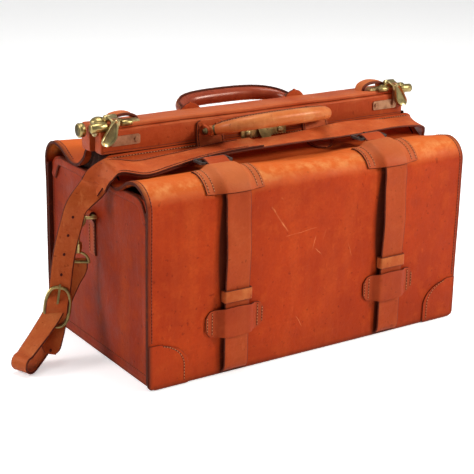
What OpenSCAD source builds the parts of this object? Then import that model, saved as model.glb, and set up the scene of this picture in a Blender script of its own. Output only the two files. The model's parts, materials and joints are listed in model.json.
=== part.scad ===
// Framed leather doctor bag with wrap-round straps, two rolled handles and a clip-on shoulder strap.
// +X runs along the bag, -Y is the front, +Z is up. The origin is the centre of the base, on the floor.

/* [Body] */
// Length of the body over the side edges
body_l = 520; // [480:5:560]
// Depth of the body, front to back
body_d = 288; // [280:2:300]
// Height of the shoulders
shoulder_h = 274; // [270:1:280]
// Radius of the front and rear shoulders
shoulder_r = 35; // [32:1:38]
// Thickness of the body leather
leather_t = 4; // [3:0.5:4]
// How far the end panels sit in from the side edges
end_inset = 7; // [6:0.5:8]
// Height of the rim of the end panels
rim_h = 252; // [248:1:254]

/* [Mouth frame] */
// Length of the mouth frame
frame_l = 504; // [490:2:508]
// How far the mouth frame sits off the middle of the body
frame_x = -8; // [-8:1:0]
// Height of the underside of the frame bars
frame_z = 288; // [286:1:290]
// Height of the front frame bar
bar_h = 28; // [26:1:30]
// Height of the pivot that both frame halves turn on
pivot_z = 200; // [195:1:210]

/* [Handles] */
// Distance of the handle pivots from the middle of the frame
handle_half = 88; // [84:1:92]
// Height of the grip's axis over the handle pivots
handle_rise = 50; // [44:1:54]
// Radius of the rolled grip
grip_r = 11; // [9:0.5:11.5]
// How far the front handle lies over, from upright
front_flop = 70; // [60:1:75]
// How far the rear handle lies over, from upright
rear_flop = 78; // [65:1:80]

/* [Straps] */
// Distance of the wrap-round straps from the middle of the body
strap_x = 130; // [120:1:140]
// Width of the wrap-round straps
strap_w = 38; // [34:1:40]
// Thickness of the straps
strap_t = 3; // [2.5:0.5:3]
// Width of the shoulder strap
carry_w = 36; // [32:1:38]
// Height of the sliding keeper loops at rest
slider_z = 103; // [100:1:120]

/* [Brass] */
// Distance of the end catches from the middle of the frame
catch_x = 233; // [225:1:236]
// Distance of the ring chapes from the middle of the end panels
ring_y = 14; // [0:1:20]
// Height of the straight bar of the D-rings
ring_z = 197; // [190:1:205]
// Radial clearance of every pin in its bore
run = 0.06; // [0.02:0.01:0.1]

/* [Hidden] */
$fn = 48;
side_x = body_l / 2;
end_x = side_x - end_inset;
front_y = body_d / 2;
panel_top = shoulder_h - shoulder_r;
bottom_r = 9;
base_t = 6;
channel_w = strap_w + 1;
strap_gap = 2.5;
strap_out = strap_gap + strap_t;
keeper_w = 88;
bar_y0 = 5;
bar_y1 = 24;
lip_t = 6;
lip_y = 22;
bar_top = frame_z + bar_h;
rear_top = bar_top + lip_t + 2;
leg_t = 3;
leg_x = 234;
pivot_r = 2.5;
pin_r = 3;
chape_t = 6.2;
hinge_y = bar_y1 + chape_t + 6.8;
front_hinge_z = frame_z + 15;
rear_hinge_z = frame_z + 24;
wire_r = 2.2;
ring_r = 18;
ring_x = end_x + 5.8;
bow_r = 10.5;
bow_wire = 2.4;
bow_x = ring_x + ring_r;
bow_z = ring_z - (bow_r - bow_wire - wire_r - 0.1);
eye_top = bow_z - 42;
eye_r = 14;
eye_low = eye_top - 3 - eye_r;
carry_t = 3.4;
tan_leather = "#c4602c";
strap_leather = "#b9552e";
edge_leather = "#4a1f12";
brass = "#9c8443";
steel = "#8d8f91";
board = "#6b5440";
cloth = "#7c5a3a";

// ---------- helpers ----------

// Box from its lowest to its highest corner
module span(lo, hi) { translate(lo) cube(hi - lo); }

// Cylinder of radius r along X, from x0 to x1, on the line y, z
module rod_x(x0, x1, y, z, r) { translate([x0, y, z]) rotate([0, 90, 0]) cylinder(h = x1 - x0, r = r); }

// Cylinder of radius r along Y, from y0 to y1, on the line x, z
module rod_y(y0, y1, x, z, r) { translate([x, y0, z]) rotate([-90, 0, 0]) cylinder(h = y1 - y0, r = r); }

// Extrudes a side view, drawn in Y and Z, along X from x0 to x1
module side_view(x0, x1) {
    translate([x0, 0, 0]) rotate([90, 0, 90]) linear_extrude(height = x1 - x0) children();
}

// Extrudes an end view, drawn in X and Z, along Y from y0 to y1
module front_view(y0, y1) {
    translate([0, y1, 0]) rotate([90, 0, 0]) linear_extrude(height = y1 - y0) children();
}

// Copies its children to the left and to the right end, about the middle of the body
module both_ends() { children(); mirror([1, 0, 0]) children(); }

// Copies its children to the front and the back
module both_sides() { children(); mirror([0, 1, 0]) children(); }

// Copies its children to both wrap-round straps
module both_straps() { for (s = [-1, 1]) translate([s * strap_x, 0, 0]) children(); }

// Rounded rectangle from its lowest to its highest corner
module round_rect(lo, hi, r) {
    translate([lo[0] + r, lo[1]]) square([hi[0] - lo[0] - 2 * r, hi[1] - lo[1]]);
    translate([lo[0], lo[1] + r]) square([hi[0] - lo[0], hi[1] - lo[1] - 2 * r]);
    for (x = [lo[0] + r, hi[0] - r], z = [lo[1] + r, hi[1] - r]) translate([x, z]) circle(r);
}

// Side view of the body grown by g: square at the base, round at both shoulders
module body_outline(g, low) {
    r = shoulder_r + g;
    y = front_y + g;
    top = shoulder_h + g;
    translate([-y, low]) square([2 * y, top - r - low]);
    translate([-(y - r), low]) square([2 * (y - r), top - low]);
    for (s = [-1, 1]) translate([s * (y - r), top - r]) circle(r);
}

// The channels that let the wrap-round straps lie flush under the base
module strap_channels() {
    both_straps() span([-channel_w / 2, -front_y - 10, -1], [channel_w / 2, front_y + 10, strap_t]);
}

// ---------- body ----------

module base_panel() {
    color(tan_leather) difference() {
        span([-end_x, -front_y + leather_t, 0], [end_x, front_y - leather_t, base_t]);
        strap_channels();
    }
}

module base_board() {
    inner = end_x - leather_t - 4;
    color(board) span([-inner, -front_y + 9, base_t], [inner, front_y - 9, base_t + 3]);
}

// The flat of the front panel, with rounded lower corners
module front_flat() {
    difference() {
        front_view(-front_y, -front_y + leather_t) {
            translate([-side_x, bottom_r]) square([body_l, panel_top - bottom_r]);
            translate([-side_x + bottom_r, 0]) square([body_l - 2 * bottom_r, bottom_r]);
            for (s = [-1, 1]) translate([s * (side_x - bottom_r), bottom_r]) circle(bottom_r);
        }
        strap_channels();
    }
}

module front_panel() { color(tan_leather) front_flat(); }
module back_panel() { color(tan_leather) mirror([0, 1, 0]) front_flat(); }

// End panel: recessed between the front and back panels, with rounded top corners
module end_sheet() {
    y = front_y - leather_t;
    r = 28;
    side_view(-end_x, -end_x + leather_t) {
        translate([-y, base_t]) square([2 * y, rim_h - r - base_t]);
        translate([-y + r, base_t]) square([2 * (y - r), rim_h - base_t]);
        for (s = [-1, 1]) translate([s * (y - r), rim_h - r]) circle(r);
    }
}

module left_end_panel() { color(tan_leather) end_sheet(); }
module right_end_panel() { color(tan_leather) mirror([1, 0, 0]) end_sheet(); }

// Welt that fills the corner between the front panel's edge and the end panels
module welt() {
    y0 = -front_y + leather_t;
    both_ends() span([-side_x + 0.5, y0, bottom_r], [-end_x, y0 + 3, panel_top]);
}

module front_welt() { color(edge_leather) welt(); }
module back_welt() { color(edge_leather) mirror([0, 1, 0]) welt(); }

// Quarter-round patches over the four lower corners
module corner_patches() {
    patch_l = 59;
    patch_h = 62;
    color(tan_leather) both_ends() both_sides()
        front_view(-front_y - 2, -front_y) intersection() {
            translate([-side_x + 1, 1]) square([patch_l, patch_h]);
            union() {
                translate([-side_x + bottom_r + 1, 1]) square([patch_l, patch_h - 20]);
                translate([-side_x + 1, bottom_r]) square([patch_l - 20, patch_h]);
                translate([-side_x + bottom_r, bottom_r]) circle(bottom_r - 1);
                translate([-side_x + patch_l - 20, patch_h - 20]) circle(20.5);
            }
        }
}

// Folded strip stitched along the rim of each end panel
module end_rims() {
    r = 24;
    y = front_y - leather_t - 9;
    color(tan_leather) both_ends() side_view(-end_x - 2, -end_x) difference() {
        union() {
            translate([-y + r, rim_h - 13]) square([2 * (y - r), 13]);
            for (s = [-1, 1]) translate([s * (y - r), rim_h - r]) circle(r);
        }
        translate([-y, 0]) square([2 * y, rim_h - 13]);
    }
}

// Stiff boards inside the end panels, drilled for the frame's pivot rivets
module end_boards() {
    x = end_x - leather_t;
    color(board) both_ends() difference() {
        span([-x, -120, base_t + 4], [-x + 2.5, 120, rim_h - 7]);
        rod_x(-x - 1, -x + 4, 0, pivot_z, pivot_r);
    }
}

// Cloth lining: an open tub below the frame's pivots, with taller front and back walls
module lining() {
    x = end_x - leather_t - 3.4;
    y = front_y - leather_t - 3;
    z = base_t + 3;
    t = 1.2;
    low = pivot_z - 14;
    color(cloth) {
        span([-x, -y, z], [x, y, z + t]);
        both_sides() span([-x, -y, z], [x, -y + t, panel_top - 3]);
        both_ends() span([-x, -y, z], [-x + t, y, low]);
    }
}

// Side view of the front shelf: over the shoulder, down into the trough, up the frame's neck
module shelf_section() {
    crest_y = front_y - shoulder_r;
    intersection() {
        difference() {
            body_outline(0, panel_top - 1);
            body_outline(-leather_t, 0);
        }
        translate([-front_y - 1, panel_top]) square([shoulder_r + 1, shoulder_r + 1]);
    }
    polygon([
        [-crest_y, shoulder_h], [-92, 271], [-76, 264.5], [-61, 261], [-45, 263], [-34, 272],
        [-29, 281], [-bar_y1 - 3.5, frame_z + 6], [-bar_y1, frame_z + 6], [-bar_y1, frame_z - 4],
        [-30.5, 269], [-43.5, 258.5], [-61, 257], [-77, 260.5], [-93, 267], [-crest_y, shoulder_h - leather_t]
    ]);
}

module front_shelf() { color(tan_leather) side_view(-side_x, side_x) shelf_section(); }
module rear_shelf() { color(tan_leather) mirror([0, 1, 0]) side_view(-side_x, side_x) shelf_section(); }

// Folding leather that closes the end of the mouth under the frame
module gusset() {
    side_view(-end_x + 3.5, -end_x + 5.5)
        polygon([[-50, rim_h + 0.5], [50, rim_h + 0.5], [40, 256], [28, 267], [21, 286],
                 [-21, 286], [-28, 267], [-40, 256]]);
}

module left_gusset() { color(edge_leather) gusset(); }
module right_gusset() { color(edge_leather) mirror([1, 0, 0]) gusset(); }

// Rivets that join the frame legs to the end boards, with a spacer where the legs stand off
module pivot_rivets() {
    out = end_x - leather_t;
    color(steel) for (s = [-1, 1]) {
        leg = s * (frame_x + s * leg_x);
        x0 = leg - leg_t - 0.8;
        mirror([s < 0 ? 1 : 0, 0, 0]) {
            rod_x(x0, out, 0, pivot_z, pivot_r);
            rod_x(x0 - 2, x0, 0, pivot_z, 6);
            rod_x(leg + leg_t + 0.3, out - 2.5, 0, pivot_z, 5);
        }
    }
}

// ---------- wrap-round straps ----------

// One strap: up the front, over both shoulders and flush under the base
module strap_band() {
    end_y = 101;
    color(strap_leather) side_view(-strap_w / 2, strap_w / 2) difference() {
        body_outline(strap_out, 0);
        body_outline(strap_gap, strap_t);
        translate([-end_y, strap_t + 1]) square([2 * end_y, shoulder_h + 20]);
    }
}

module left_strap() { translate([-strap_x, 0, 0]) strap_band(); }
module right_strap() { translate([strap_x, 0, 0]) strap_band(); }

// Space the strap takes under a keeper
module strap_space() {
    side_view(-channel_w / 2, channel_w / 2) difference() {
        body_outline(strap_out + 0.3, 0);
        translate([-101, 0]) square([202, shoulder_h + 20]);
    }
}

// Stitched patch over the shoulder that the strap runs under
module upper_keeper() {
    color(strap_leather) difference() {
        side_view(-keeper_w / 2, keeper_w / 2) difference() {
            intersection() {
                body_outline(strap_out + 2.2, 0);
                translate([-front_y - 20, 250]) square([60, 60]);
            }
            body_outline(0, 0);
            translate([-front_y + shoulder_r + 4, 240]) square([60, 60]);
        }
        strap_space();
        for (s = [-1, 1]) side_view(s > 0 ? 22 : -keeper_w, s > 0 ? keeper_w : -22) difference() {
            body_outline(strap_out + 5, 0);
            body_outline(2, 0);
        }
    }
}

module front_upper_keepers() { both_straps() upper_keeper(); }
module back_upper_keepers() { mirror([0, 1, 0]) both_straps() upper_keeper(); }

// Stitched patch low on the panel that the strap runs under
module lower_keeper() {
    z0 = 57;
    z1 = 96;
    y = front_y + strap_out;
    color(strap_leather) difference() {
        union() {
            front_view(-front_y - 2, -front_y) round_rect([-keeper_w / 2, z0], [keeper_w / 2, z1], 4);
            span([-channel_w / 2 - 2, -y - 2.2, z0 + 0.5], [channel_w / 2 + 2, -front_y, z1 - 0.5]);
        }
        span([-channel_w / 2, -y - 0.3, z0 - 1], [channel_w / 2, -front_y + 1, z1 + 1]);
    }
}

module lower_keepers() { both_sides() both_straps() lower_keeper(); }

// Loop that slides on the strap
module slider() {
    z0 = slider_z;
    z1 = slider_z + 17;
    y0 = front_y + 0.3;
    y1 = front_y + strap_out + 2.2;
    w = strap_w / 2 + 0.4;
    color(strap_leather) difference() {
        span([-w - 2, -y1, z0], [w + 2, -y0, z1]);
        span([-w, -y1 + 1.9, z0 - 1], [w, -y0 - 1.9, z1 + 1]);
    }
}

module left_slider_loop() { translate([-strap_x, 0, 0]) slider(); }
module right_slider_loop() { translate([strap_x, 0, 0]) slider(); }

// Roller buckle lying on the shelf behind the upper keeper: frame with a bar along X
strap_buckle_y = -88;
strap_buckle_z = shoulder_h + 4.5;
module flat_buckle() {
    w = 25;
    l = 12;
    color(steel) {
        translate([0, strap_buckle_y, strap_buckle_z - 1.5]) linear_extrude(height = 3) difference() {
            round_rect([-w, -l], [w, l], 5);
            round_rect([-w + 3.5, -l + 3.5], [w - 3.5, l - 3.5], 2.5);
        }
        rod_x(-w + 3, w - 3, strap_buckle_y, strap_buckle_z, 1.4);
    }
}

module left_strap_buckle() { translate([-strap_x, 0, 0]) flat_buckle(); }
module right_strap_buckle() { translate([strap_x, 0, 0]) flat_buckle(); }

// Prong that turns on the buckle's middle bar
module flat_prong() {
    color(steel) difference() {
        union() {
            rod_x(-2, 2, strap_buckle_y, strap_buckle_z, 2.6);
            span([-1.3, strap_buckle_y, strap_buckle_z + 1.6], [1.3, strap_buckle_y + 12, strap_buckle_z + 3.4]);
        }
        rod_x(-3, 3, strap_buckle_y, strap_buckle_z, 1.4 + run);
    }
}

module left_buckle_prong() { translate([-strap_x, 0, 0]) flat_prong(); }
module right_buckle_prong() { translate([strap_x, 0, 0]) flat_prong(); }

// ---------- end rings and snap hooks, drawn for the left end ----------

// Leather tab riveted to the end panel, with a loop round the ring's straight bar
module ring_chape() {
    w = 9;
    color(strap_leather) difference() {
        union() {
            span([-end_x - 2.6, ring_y - w, 140], [-end_x, ring_y + w, ring_z]);
            rod_y(ring_y - w, ring_y + w, -ring_x, ring_z, wire_r + 2.6);
            span([-ring_x, ring_y - w, ring_z - 4.5], [-end_x, ring_y + w, ring_z + 2]);
        }
        rod_y(ring_y - w - 1, ring_y + w + 1, -ring_x, ring_z, wire_r + run);
    }
}

module ring_chapes() { both_ends() ring_chape(); }

// D-ring: straight bar along Y, half round standing outwards
module d_ring() {
    color(brass) {
        rod_y(ring_y - ring_r, ring_y + ring_r, -ring_x, ring_z, wire_r);
        translate([-ring_x, ring_y, ring_z]) rotate([0, 0, 90])
            rotate_extrude(angle = 180) translate([ring_r, 0]) circle(wire_r);
        for (s = [-1, 1]) translate([-ring_x, ring_y + s * ring_r, ring_z]) sphere(wire_r);
    }
}

module left_d_ring() { d_ring(); }
module right_d_ring() { mirror([1, 0, 0]) d_ring(); }

// Snap hook: bow open on its outer side, shank, and a swivel socket
gate_low = 220;
gate_high = 130;
gate_pin = [-bow_x + bow_r * cos(gate_low), bow_z + bow_r * sin(gate_low)];
gate_stop = [-bow_x + bow_r * cos(gate_high), bow_z + bow_r * sin(gate_high)];
gate_lean = atan2(gate_stop[0] - gate_pin[0], gate_stop[1] - gate_pin[1]);
module snap_hook() {
    color(brass) {
        difference() {
            union() {
                translate([-bow_x, ring_y, bow_z]) rotate([90, 0, 0]) rotate([0, 0, gate_low])
                    rotate_extrude(angle = 360 - gate_low + gate_high) translate([bow_r, 0]) circle(bow_wire);
                translate([-bow_x, ring_y, eye_top + 8]) cylinder(h = bow_z - bow_r - eye_top - 8, r = 3);
                translate([-bow_x, ring_y, eye_top + 1]) cylinder(h = 9, r = 5.4);
                rod_y(ring_y - 3.9, ring_y + 3.9, gate_pin[0], gate_pin[1], 4.2);
            }
            translate([-bow_x, ring_y, eye_top - 1]) cylinder(h = 9, r = 2.2 + run);
            rod_y(ring_y - 1.9, ring_y + 1.9, gate_pin[0], gate_pin[1], 3);
            translate([gate_pin[0], ring_y, gate_pin[1]]) rotate([0, gate_lean, 0])
                span([-2, -1.9, 1.2], [4.6, 1.9, 6]);
        }
        rod_y(ring_y - 3, ring_y + 3, gate_pin[0], gate_pin[1], 0.9);
    }
}

module left_snap_hook() { snap_hook(); }
module right_snap_hook() { mirror([1, 0, 0]) snap_hook(); }

// Spring gate that closes the bow
module hook_gate() {
    reach = 0.73 * norm(gate_stop - gate_pin);
    color(brass) difference() {
        union() {
            rod_y(ring_y - 1.6, ring_y + 1.6, gate_pin[0], gate_pin[1], 2);
            translate([gate_pin[0], ring_y, gate_pin[1]]) rotate([0, gate_lean, 0]) cylinder(h = reach, r = 1.5);
        }
        rod_y(ring_y - 3, ring_y + 3, gate_pin[0], gate_pin[1], 0.9 + run);
    }
}

module left_hook_gate() { hook_gate(); }
module right_hook_gate() { mirror([1, 0, 0]) hook_gate(); }

// Swivel eye: a headed pin in the hook's socket over a loop for the strap
module swivel_eye() {
    color(brass) {
        translate([-bow_x, ring_y, eye_top - 2]) cylinder(h = 9.6, r = 2.2);
        translate([-bow_x, ring_y, eye_top - 3.4]) cylinder(h = 4, r = 4.4);
        translate([-bow_x, ring_y, eye_low]) rotate([0, 0, -34]) {
            rotate([90, 0, 0]) rotate_extrude(angle = 180) translate([eye_r, 0]) circle(1.9);
            for (s = [-1, 1]) translate([s * eye_r, 0, 0]) sphere(1.9);
            rod_x(-eye_r, eye_r, 0, 0, 1.9);
        }
    }
}

module left_swivel_eye() { swivel_eye(); }
module right_swivel_eye() { mirror([1, 0, 0]) swivel_eye(); }

// ---------- shoulder strap ----------

// Ribbon along rows of [centre, half-width vector, thickness direction]
module ribbon(rows, t) {
    n = len(rows);
    pts = [for (r = rows, c = [[1, 1], [-1, 1], [-1, -1], [1, -1]]) r[0] + c[0] * r[1] + c[1] * t / 2 * r[2]];
    faces = concat(
        [[3, 2, 1, 0]],
        [[for (k = [0:3]) 4 * (n - 1) + k]],
        [for (i = [0:n - 2], k = [0:3]) each [
            [4 * i + k, 4 * i + (k + 1) % 4, 4 * i + 4 + (k + 1) % 4],
            [4 * i + k, 4 * i + 4 + (k + 1) % 4, 4 * i + 4 + k]
        ]]
    );
    polyhedron(points = pts, faces = faces, convexity = 8);
}

function unit(v) = v / norm(v);
// Rows for a ribbon through points with the given width directions
function rows_of(pts, dirs, w) = [
    for (i = [0:len(pts) - 1])
        let (
            ahead = pts[min(i + 1, len(pts) - 1)] - pts[max(i - 1, 0)],
            across = unit(dirs[i] - (dirs[i] * unit(ahead)) * unit(ahead)),
            up = unit(cross(across, ahead))
        )
        [pts[i], across * w[i] / 2, up]
];

// Direction across a strap that hangs at the left end, and the line it hangs along at the buckle
hang = [0.83, -0.56, 0];
buckle_at = [-308, 16, 73];
fall = [0.25, 0.17, 0.953];

// Long strap: from the right hook over the end, along the neck, and down the left end as a punched tail
module shoulder_strap() {
    turned = [-0.83, -0.56, 0];
    lie = [0, -0.86, -0.5];
    hanging_w = 30;
    path = [
        [bow_x, ring_y, eye_low - 3.4], [bow_x + 2, 13, 116], [bow_x + 9, 11, 108], [bow_x + 17, 8, 118],
        [bow_x + 20, 0, 150], [290, -14, 204], [281, -30, 240], [272, -44, 264], [257, -52, 283],
        [234, -51, 288], [205, -50, 287], [150, -50, 284], [90, -50, 282], [30, -52, 284], [-30, -54, 285],
        [-90, -52, 284], [-150, -51, 283], [-205, -51, 282.5], [-238, -52, 282], [-266, -47, 271],
        [-281, -31, 254], [-292, -15, 236], [-299, -3, 217], [-302, 5, 198], [-303, 11, 175],
        [-302, 15, 148], [-301, 19, 125], buckle_at + 34 * fall, buckle_at, buckle_at - 32 * fall, [-327, 4, 12]
    ];
    across = [
        turned, turned, turned, turned, turned, [-0.5, -0.85, 0.2], [-0.3, -0.95, -0.1],
        [-0.2, -0.95, -0.2], [-0.1, -0.92, -0.4], lie, lie, lie, lie, lie, lie, lie, lie, lie,
        [-0.2, -0.82, -0.55], [-0.38, -0.6, -0.7], [-0.2, -0.75, -0.65], [0.4, -0.75, -0.5],
        [0.7, -0.68, -0.2], hang, hang, hang, hang, hang, hang, hang, hang
    ];
    wide = [for (p = path) p[2] < 225 ? hanging_w : carry_w];
    color(strap_leather) ribbon(rows_of(path, across, wide), carry_t);
}

// Short strap: from the left hook behind the tail to a hanging bight on the floor and up to the buckle
module buckle_strap() {
    bight = [0.3, -0.95, 0];
    path = [
        [-bow_x, ring_y, eye_low - 3.6], [-bow_x, ring_y + 1, eye_low - 9], [-277, 25, 106], [-283, 38, 82],
        [-300, 46, 54], [-328, 42, 28], [-354, 20, 11], [-378, -14, 4], [-390, -22, 9], [-394, -14, 20],
        [-386, 2, 32], [-364, 20, 40], [-334, 38, 48], [-307, 36, 64]
    ];
    across = [hang, hang, hang, hang, hang, hang, bight, bight, bight, bight, bight, hang, hang, hang];
    color(strap_leather) ribbon(rows_of(path, across, [for (p = path) 28]), 3);
}

// Places its children in the shoulder buckle's plane: X across the strap, Z along it
module at_buckle() { translate(buckle_at) rotate([0, 0, -34]) rotate([-16.3, 6.7, 0]) children(); }

// Shoulder buckle: rounded brass frame in front of the strap
module shoulder_buckle() {
    w = 20;
    h = 31;
    color(brass) at_buckle() front_view(-6.2, -2.6) difference() {
        round_rect([-w, -h], [w, h], 14);
        round_rect([-w + 3.6, -h + 3.6], [w - 3.6, h - 3.6], 10.5);
    }
    color(brass) at_buckle() rod_x(-w + 2, w - 2, -4.4, 0, 1.3);
}

// Prong on the buckle's middle bar, its tip on the top of the frame
module shoulder_buckle_prong() {
    color(brass) at_buckle() difference() {
        union() {
            rod_x(-2.2, 2.2, -4.4, 0, 2.5);
            span([-1.4, -8.2, 0], [1.4, -6.3, 31]);
            span([-1.4, -8.2, -1], [1.4, -4.8, 2]);
        }
        rod_x(-3, 3, -4.4, 0, 1.3 + run);
    }
}

// ---------- mouth frame ----------

// Leg of a frame half: from its bar down to an eye on the pivot
module frame_leg(x0, y_top, bar_z) {
    side_view(x0, x0 + leg_t) difference() {
        union() {
            polygon([[y_top - 4, bar_z], [y_top + 4, bar_z], [6, pivot_z], [-6, pivot_z]]);
            translate([0, pivot_z]) circle(9);
        }
        translate([0, pivot_z]) circle(pivot_r + run);
    }
}

// Steel half frame: a bar with a leg at each end; leg_in moves the legs inwards past the other half's
module half_steel(y_mid, top, leg_in) {
    x = leg_x - leg_in;
    color(steel) {
        span([frame_x - x - leg_t, y_mid - 2, frame_z + 4], [frame_x + x + leg_t, y_mid + 2, top]);
        frame_leg(frame_x - x - leg_t, y_mid, frame_z + 6);
        frame_leg(frame_x + x, y_mid, frame_z + 6);
    }
}

module front_frame_steel() { half_steel(-14, bar_top - 4, 0); }
module rear_frame_steel() { half_steel(12, bar_top, leg_t + 0.5); }

// Room inside a leather cover for its steel bar and legs
module steel_room(y_mid, top, leg_in) {
    x = leg_x - leg_in;
    span([frame_x - x - leg_t - 0.1, y_mid - 2.1, frame_z + 3.9], [frame_x + x + leg_t + 0.1, y_mid + 2.1, top + 0.1]);
    for (s = [-1, 1])
        span([frame_x + s * (x + leg_t / 2) - 1.7, y_mid - 5.2, frame_z - 1],
             [frame_x + s * (x + leg_t / 2) + 1.7, y_mid + 5.2, frame_z + 6.5]);
}

module front_frame_cover() {
    color(tan_leather) difference() {
        side_view(frame_x - frame_l / 2, frame_x + frame_l / 2)
            round_rect([-bar_y1, frame_z], [-bar_y0, bar_top], 2);
        steel_room(-14, bar_top - 4, 0);
    }
}

// Rear cover, with the lip that laps over the front bar
module rear_frame_cover() {
    color(tan_leather) difference() {
        side_view(frame_x - frame_l / 2, frame_x + frame_l / 2) {
            round_rect([0, frame_z], [bar_y1, rear_top], 2.5);
            round_rect([-lip_y, rear_top - lip_t], [bar_y1 - 4, rear_top], 2.5);
        }
        steel_room(12, bar_top, leg_t + 0.5);
    }
}

// ---------- end catches, drawn for the left end with the middle of the lever at x = 0 ----------

module at_catch(s) { translate([frame_x + s * catch_x, 0, 0]) mirror([s > 0 ? 1 : 0, 0, 0]) children(); }

lever_y = -13;
lever_z = rear_top + 7.5;

// Plate on the front bar, and the bracket that carries the lever over the lip
module catch_plates() {
    color(brass) for (s = [-1, 1]) at_catch(s) difference() {
        union() {
            front_view(-bar_y1 - 1.6, -bar_y1) round_rect([-5, frame_z + 8], [38, frame_z + 21], 3);
            rod_y(-bar_y1 - 3, -bar_y1 - 1.6, 32, frame_z + 14.5, 3);
            span([-3, -bar_y1 - 4.2, frame_z + 12], [3, -bar_y1 - 0.5, lever_z + 2]);
            span([-3, -bar_y1 - 4.2, lever_z - 1.5], [3, lever_y, lever_z + 2]);
            rod_x(-3, 3, lever_y, lever_z, 3.4);
        }
        rod_x(-4, 4, lever_y, lever_z, 1.5);
    }
}

module catch_pins() { color(brass) for (s = [-1, 1]) at_catch(s) rod_x(-6.6, 6.6, lever_y, lever_z, 1.5); }

// Lever: two cheeks on the pin, a bridge in front of the bracket and a teardrop thumb piece
module catch_lever() {
    front = -bar_y1 - 5;
    color(brass) difference() {
        union() {
            for (x = [-5.6, 3.2]) {
                span([x, front - 2, lever_z - 1.8], [x + 2.4, lever_y, lever_z + 2.6]);
                rod_x(x, x + 2.4, lever_y, lever_z, 3.4);
            }
            span([-5.6, front - 2.6, lever_z - 6], [5.6, front, lever_z + 2.6]);
            front_view(front - 2.6, front) {
                polygon([[-4, lever_z], [4, lever_z], [8.2, frame_z + 10.5], [-8.2, frame_z + 10.5]]);
                translate([0, frame_z + 9]) circle(8.5);
            }
        }
        rod_x(-8, 8, lever_y, lever_z, 1.5 + run);
        translate([0, front - 9.6, frame_z + 10]) rotate([-90, 0, 0]) cylinder(h = 8.2, r = 6);
    }
}

module left_catch_lever() { at_catch(-1) catch_lever(); }
module right_catch_lever() { at_catch(1) catch_lever(); }

// Brass bars on the lip either side of each lever, one wrapped round the frame's end
module catch_bars() {
    end = catch_x - frame_l / 2;
    color(brass) for (s = [-1, 1]) at_catch(s) difference() {
        union() {
            span([7.6, -20, rear_top], [40, -9, rear_top + 3]);
            span([end - 2.2, -20, rear_top], [-7.6, -9, rear_top + 3]);
            rod_x(end - 2.2, end, -8, rear_top - 6.5, 9.5);
            translate([12, -14.5, rear_top + 2]) cylinder(h = 3, r = 5);
        }
        span([end - 0.001, -30, rear_top - 20], [end + 30, 30, rear_top]);
        span([end - 5, -30, rear_top - 20], [end + 5, -bar_y1 + 1.4, rear_top + 20]);
    }
}

// ---------- handles ----------

// Chapes on a bar's face, with ears either side of the handle's eye; drawn for the front
module chapes(hinge_z, low, high) {
    color(strap_leather) for (s = [-1, 1]) translate([frame_x + s * handle_half, 0, 0]) difference() {
        union() {
            front_view(-bar_y1 - chape_t, -bar_y1) round_rect([-21, frame_z + 7], [21, high], 5);
            front_view(-bar_y1 - chape_t, -bar_y1 - 4.8) round_rect([-17, low], [17, frame_z + 14], 4);
            for (x = [-13, 8.5]) {
                rod_x(x, x + 4.5, -hinge_y, hinge_z, 5.4);
                span([x, -hinge_y, hinge_z - 5], [x + 4.5, -bar_y1 - 3, hinge_z + 5]);
            }
        }
        rod_x(-20, 20, -hinge_y, hinge_z, pin_r);
    }
}

module front_handle_chapes() { chapes(front_hinge_z, frame_z - 2, bar_top - 0.5); }
module rear_handle_chapes() { mirror([0, 1, 0]) chapes(rear_hinge_z, frame_z - 2, rear_top - 3); }

// Brass pins through the ears, with round heads
module handle_pins(hinge_z) {
    color(brass) for (s = [-1, 1]) translate([frame_x + s * handle_half, 0, 0]) {
        rod_x(-14.5, 14.5, -hinge_y, hinge_z, pin_r);
        for (x = [-15.5, 13]) rod_x(x, x + 2.5, -hinge_y, hinge_z, 4.6);
    }
}

module front_handle_pins() { handle_pins(front_hinge_z); }
module rear_handle_pins() { mirror([0, 1, 0]) handle_pins(rear_hinge_z); }

// Rolled handle, drawn upright on its pivots and laid over by flop degrees
module handle(hinge_z, flop) {
    bend = 28;
    leg_r = 6.5;
    color(tan_leather) translate([frame_x, -hinge_y, hinge_z]) rotate([flop, 0, 0]) difference() {
        union() {
            rod_x(-handle_half + bend, handle_half - bend, 0, handle_rise, grip_r);
            for (s = [-1, 1]) {
                translate([s * (handle_half - bend), 0, handle_rise - bend]) rotate([90, s > 0 ? 0 : -90, 0])
                    rotate_extrude(angle = 90) translate([bend, 0]) circle(leg_r + 1.5);
                translate([s * handle_half, 0, 0]) cylinder(h = handle_rise - bend, r = leg_r);
                rod_x(s * handle_half - 8, s * handle_half + 8, 0, 0, 6);
            }
        }
        for (s = [-1, 1]) rod_x(s * handle_half - 20, s * handle_half + 20, 0, 0, pin_r + run);
    }
}

module front_handle() { handle(front_hinge_z, front_flop); }
module rear_handle() { mirror([0, 1, 0]) handle(rear_hinge_z, rear_flop); }

// ---------- lock in the middle of the frame ----------

lock_z = frame_z + 11;
lock_y = -bar_y1 - 4;

// Plate on the front bar, with a shield hanging over the neck, a slot and a keyhole
module lock_plate() {
    color(brass) translate([frame_x, 0, 0]) difference() {
        union() {
            front_view(lock_y, -bar_y1) round_rect([-38, lock_z - 4.5], [38, lock_z + 8], 3);
            translate([0, lock_y - 0.2, lock_z - 2]) rotate([-17, 0, 0]) front_view(-2, 0.6)
                polygon([[-13, 0], [13, 0], [10, -12], [0, -25], [-10, -12]]);
        }
        span([-14, lock_y - 1, lock_z - 1], [14, -bar_y1 + 1, lock_z + 5]);
        rod_y(lock_y - 3, lock_y + 3, -22, lock_z + 1.5, 1.8);
    }
}

// Thumb slide in the plate's slot
module lock_slide() {
    color(brass) translate([frame_x, 0, 0]) {
        span([-13.9, -bar_y1 - 3, lock_z - 0.9], [4, -bar_y1 - 0.5, lock_z + 4.9]);
        rod_y(lock_y - 3.5, -bar_y1 - 3, -8, lock_z + 2, 2.6);
    }
}

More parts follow.
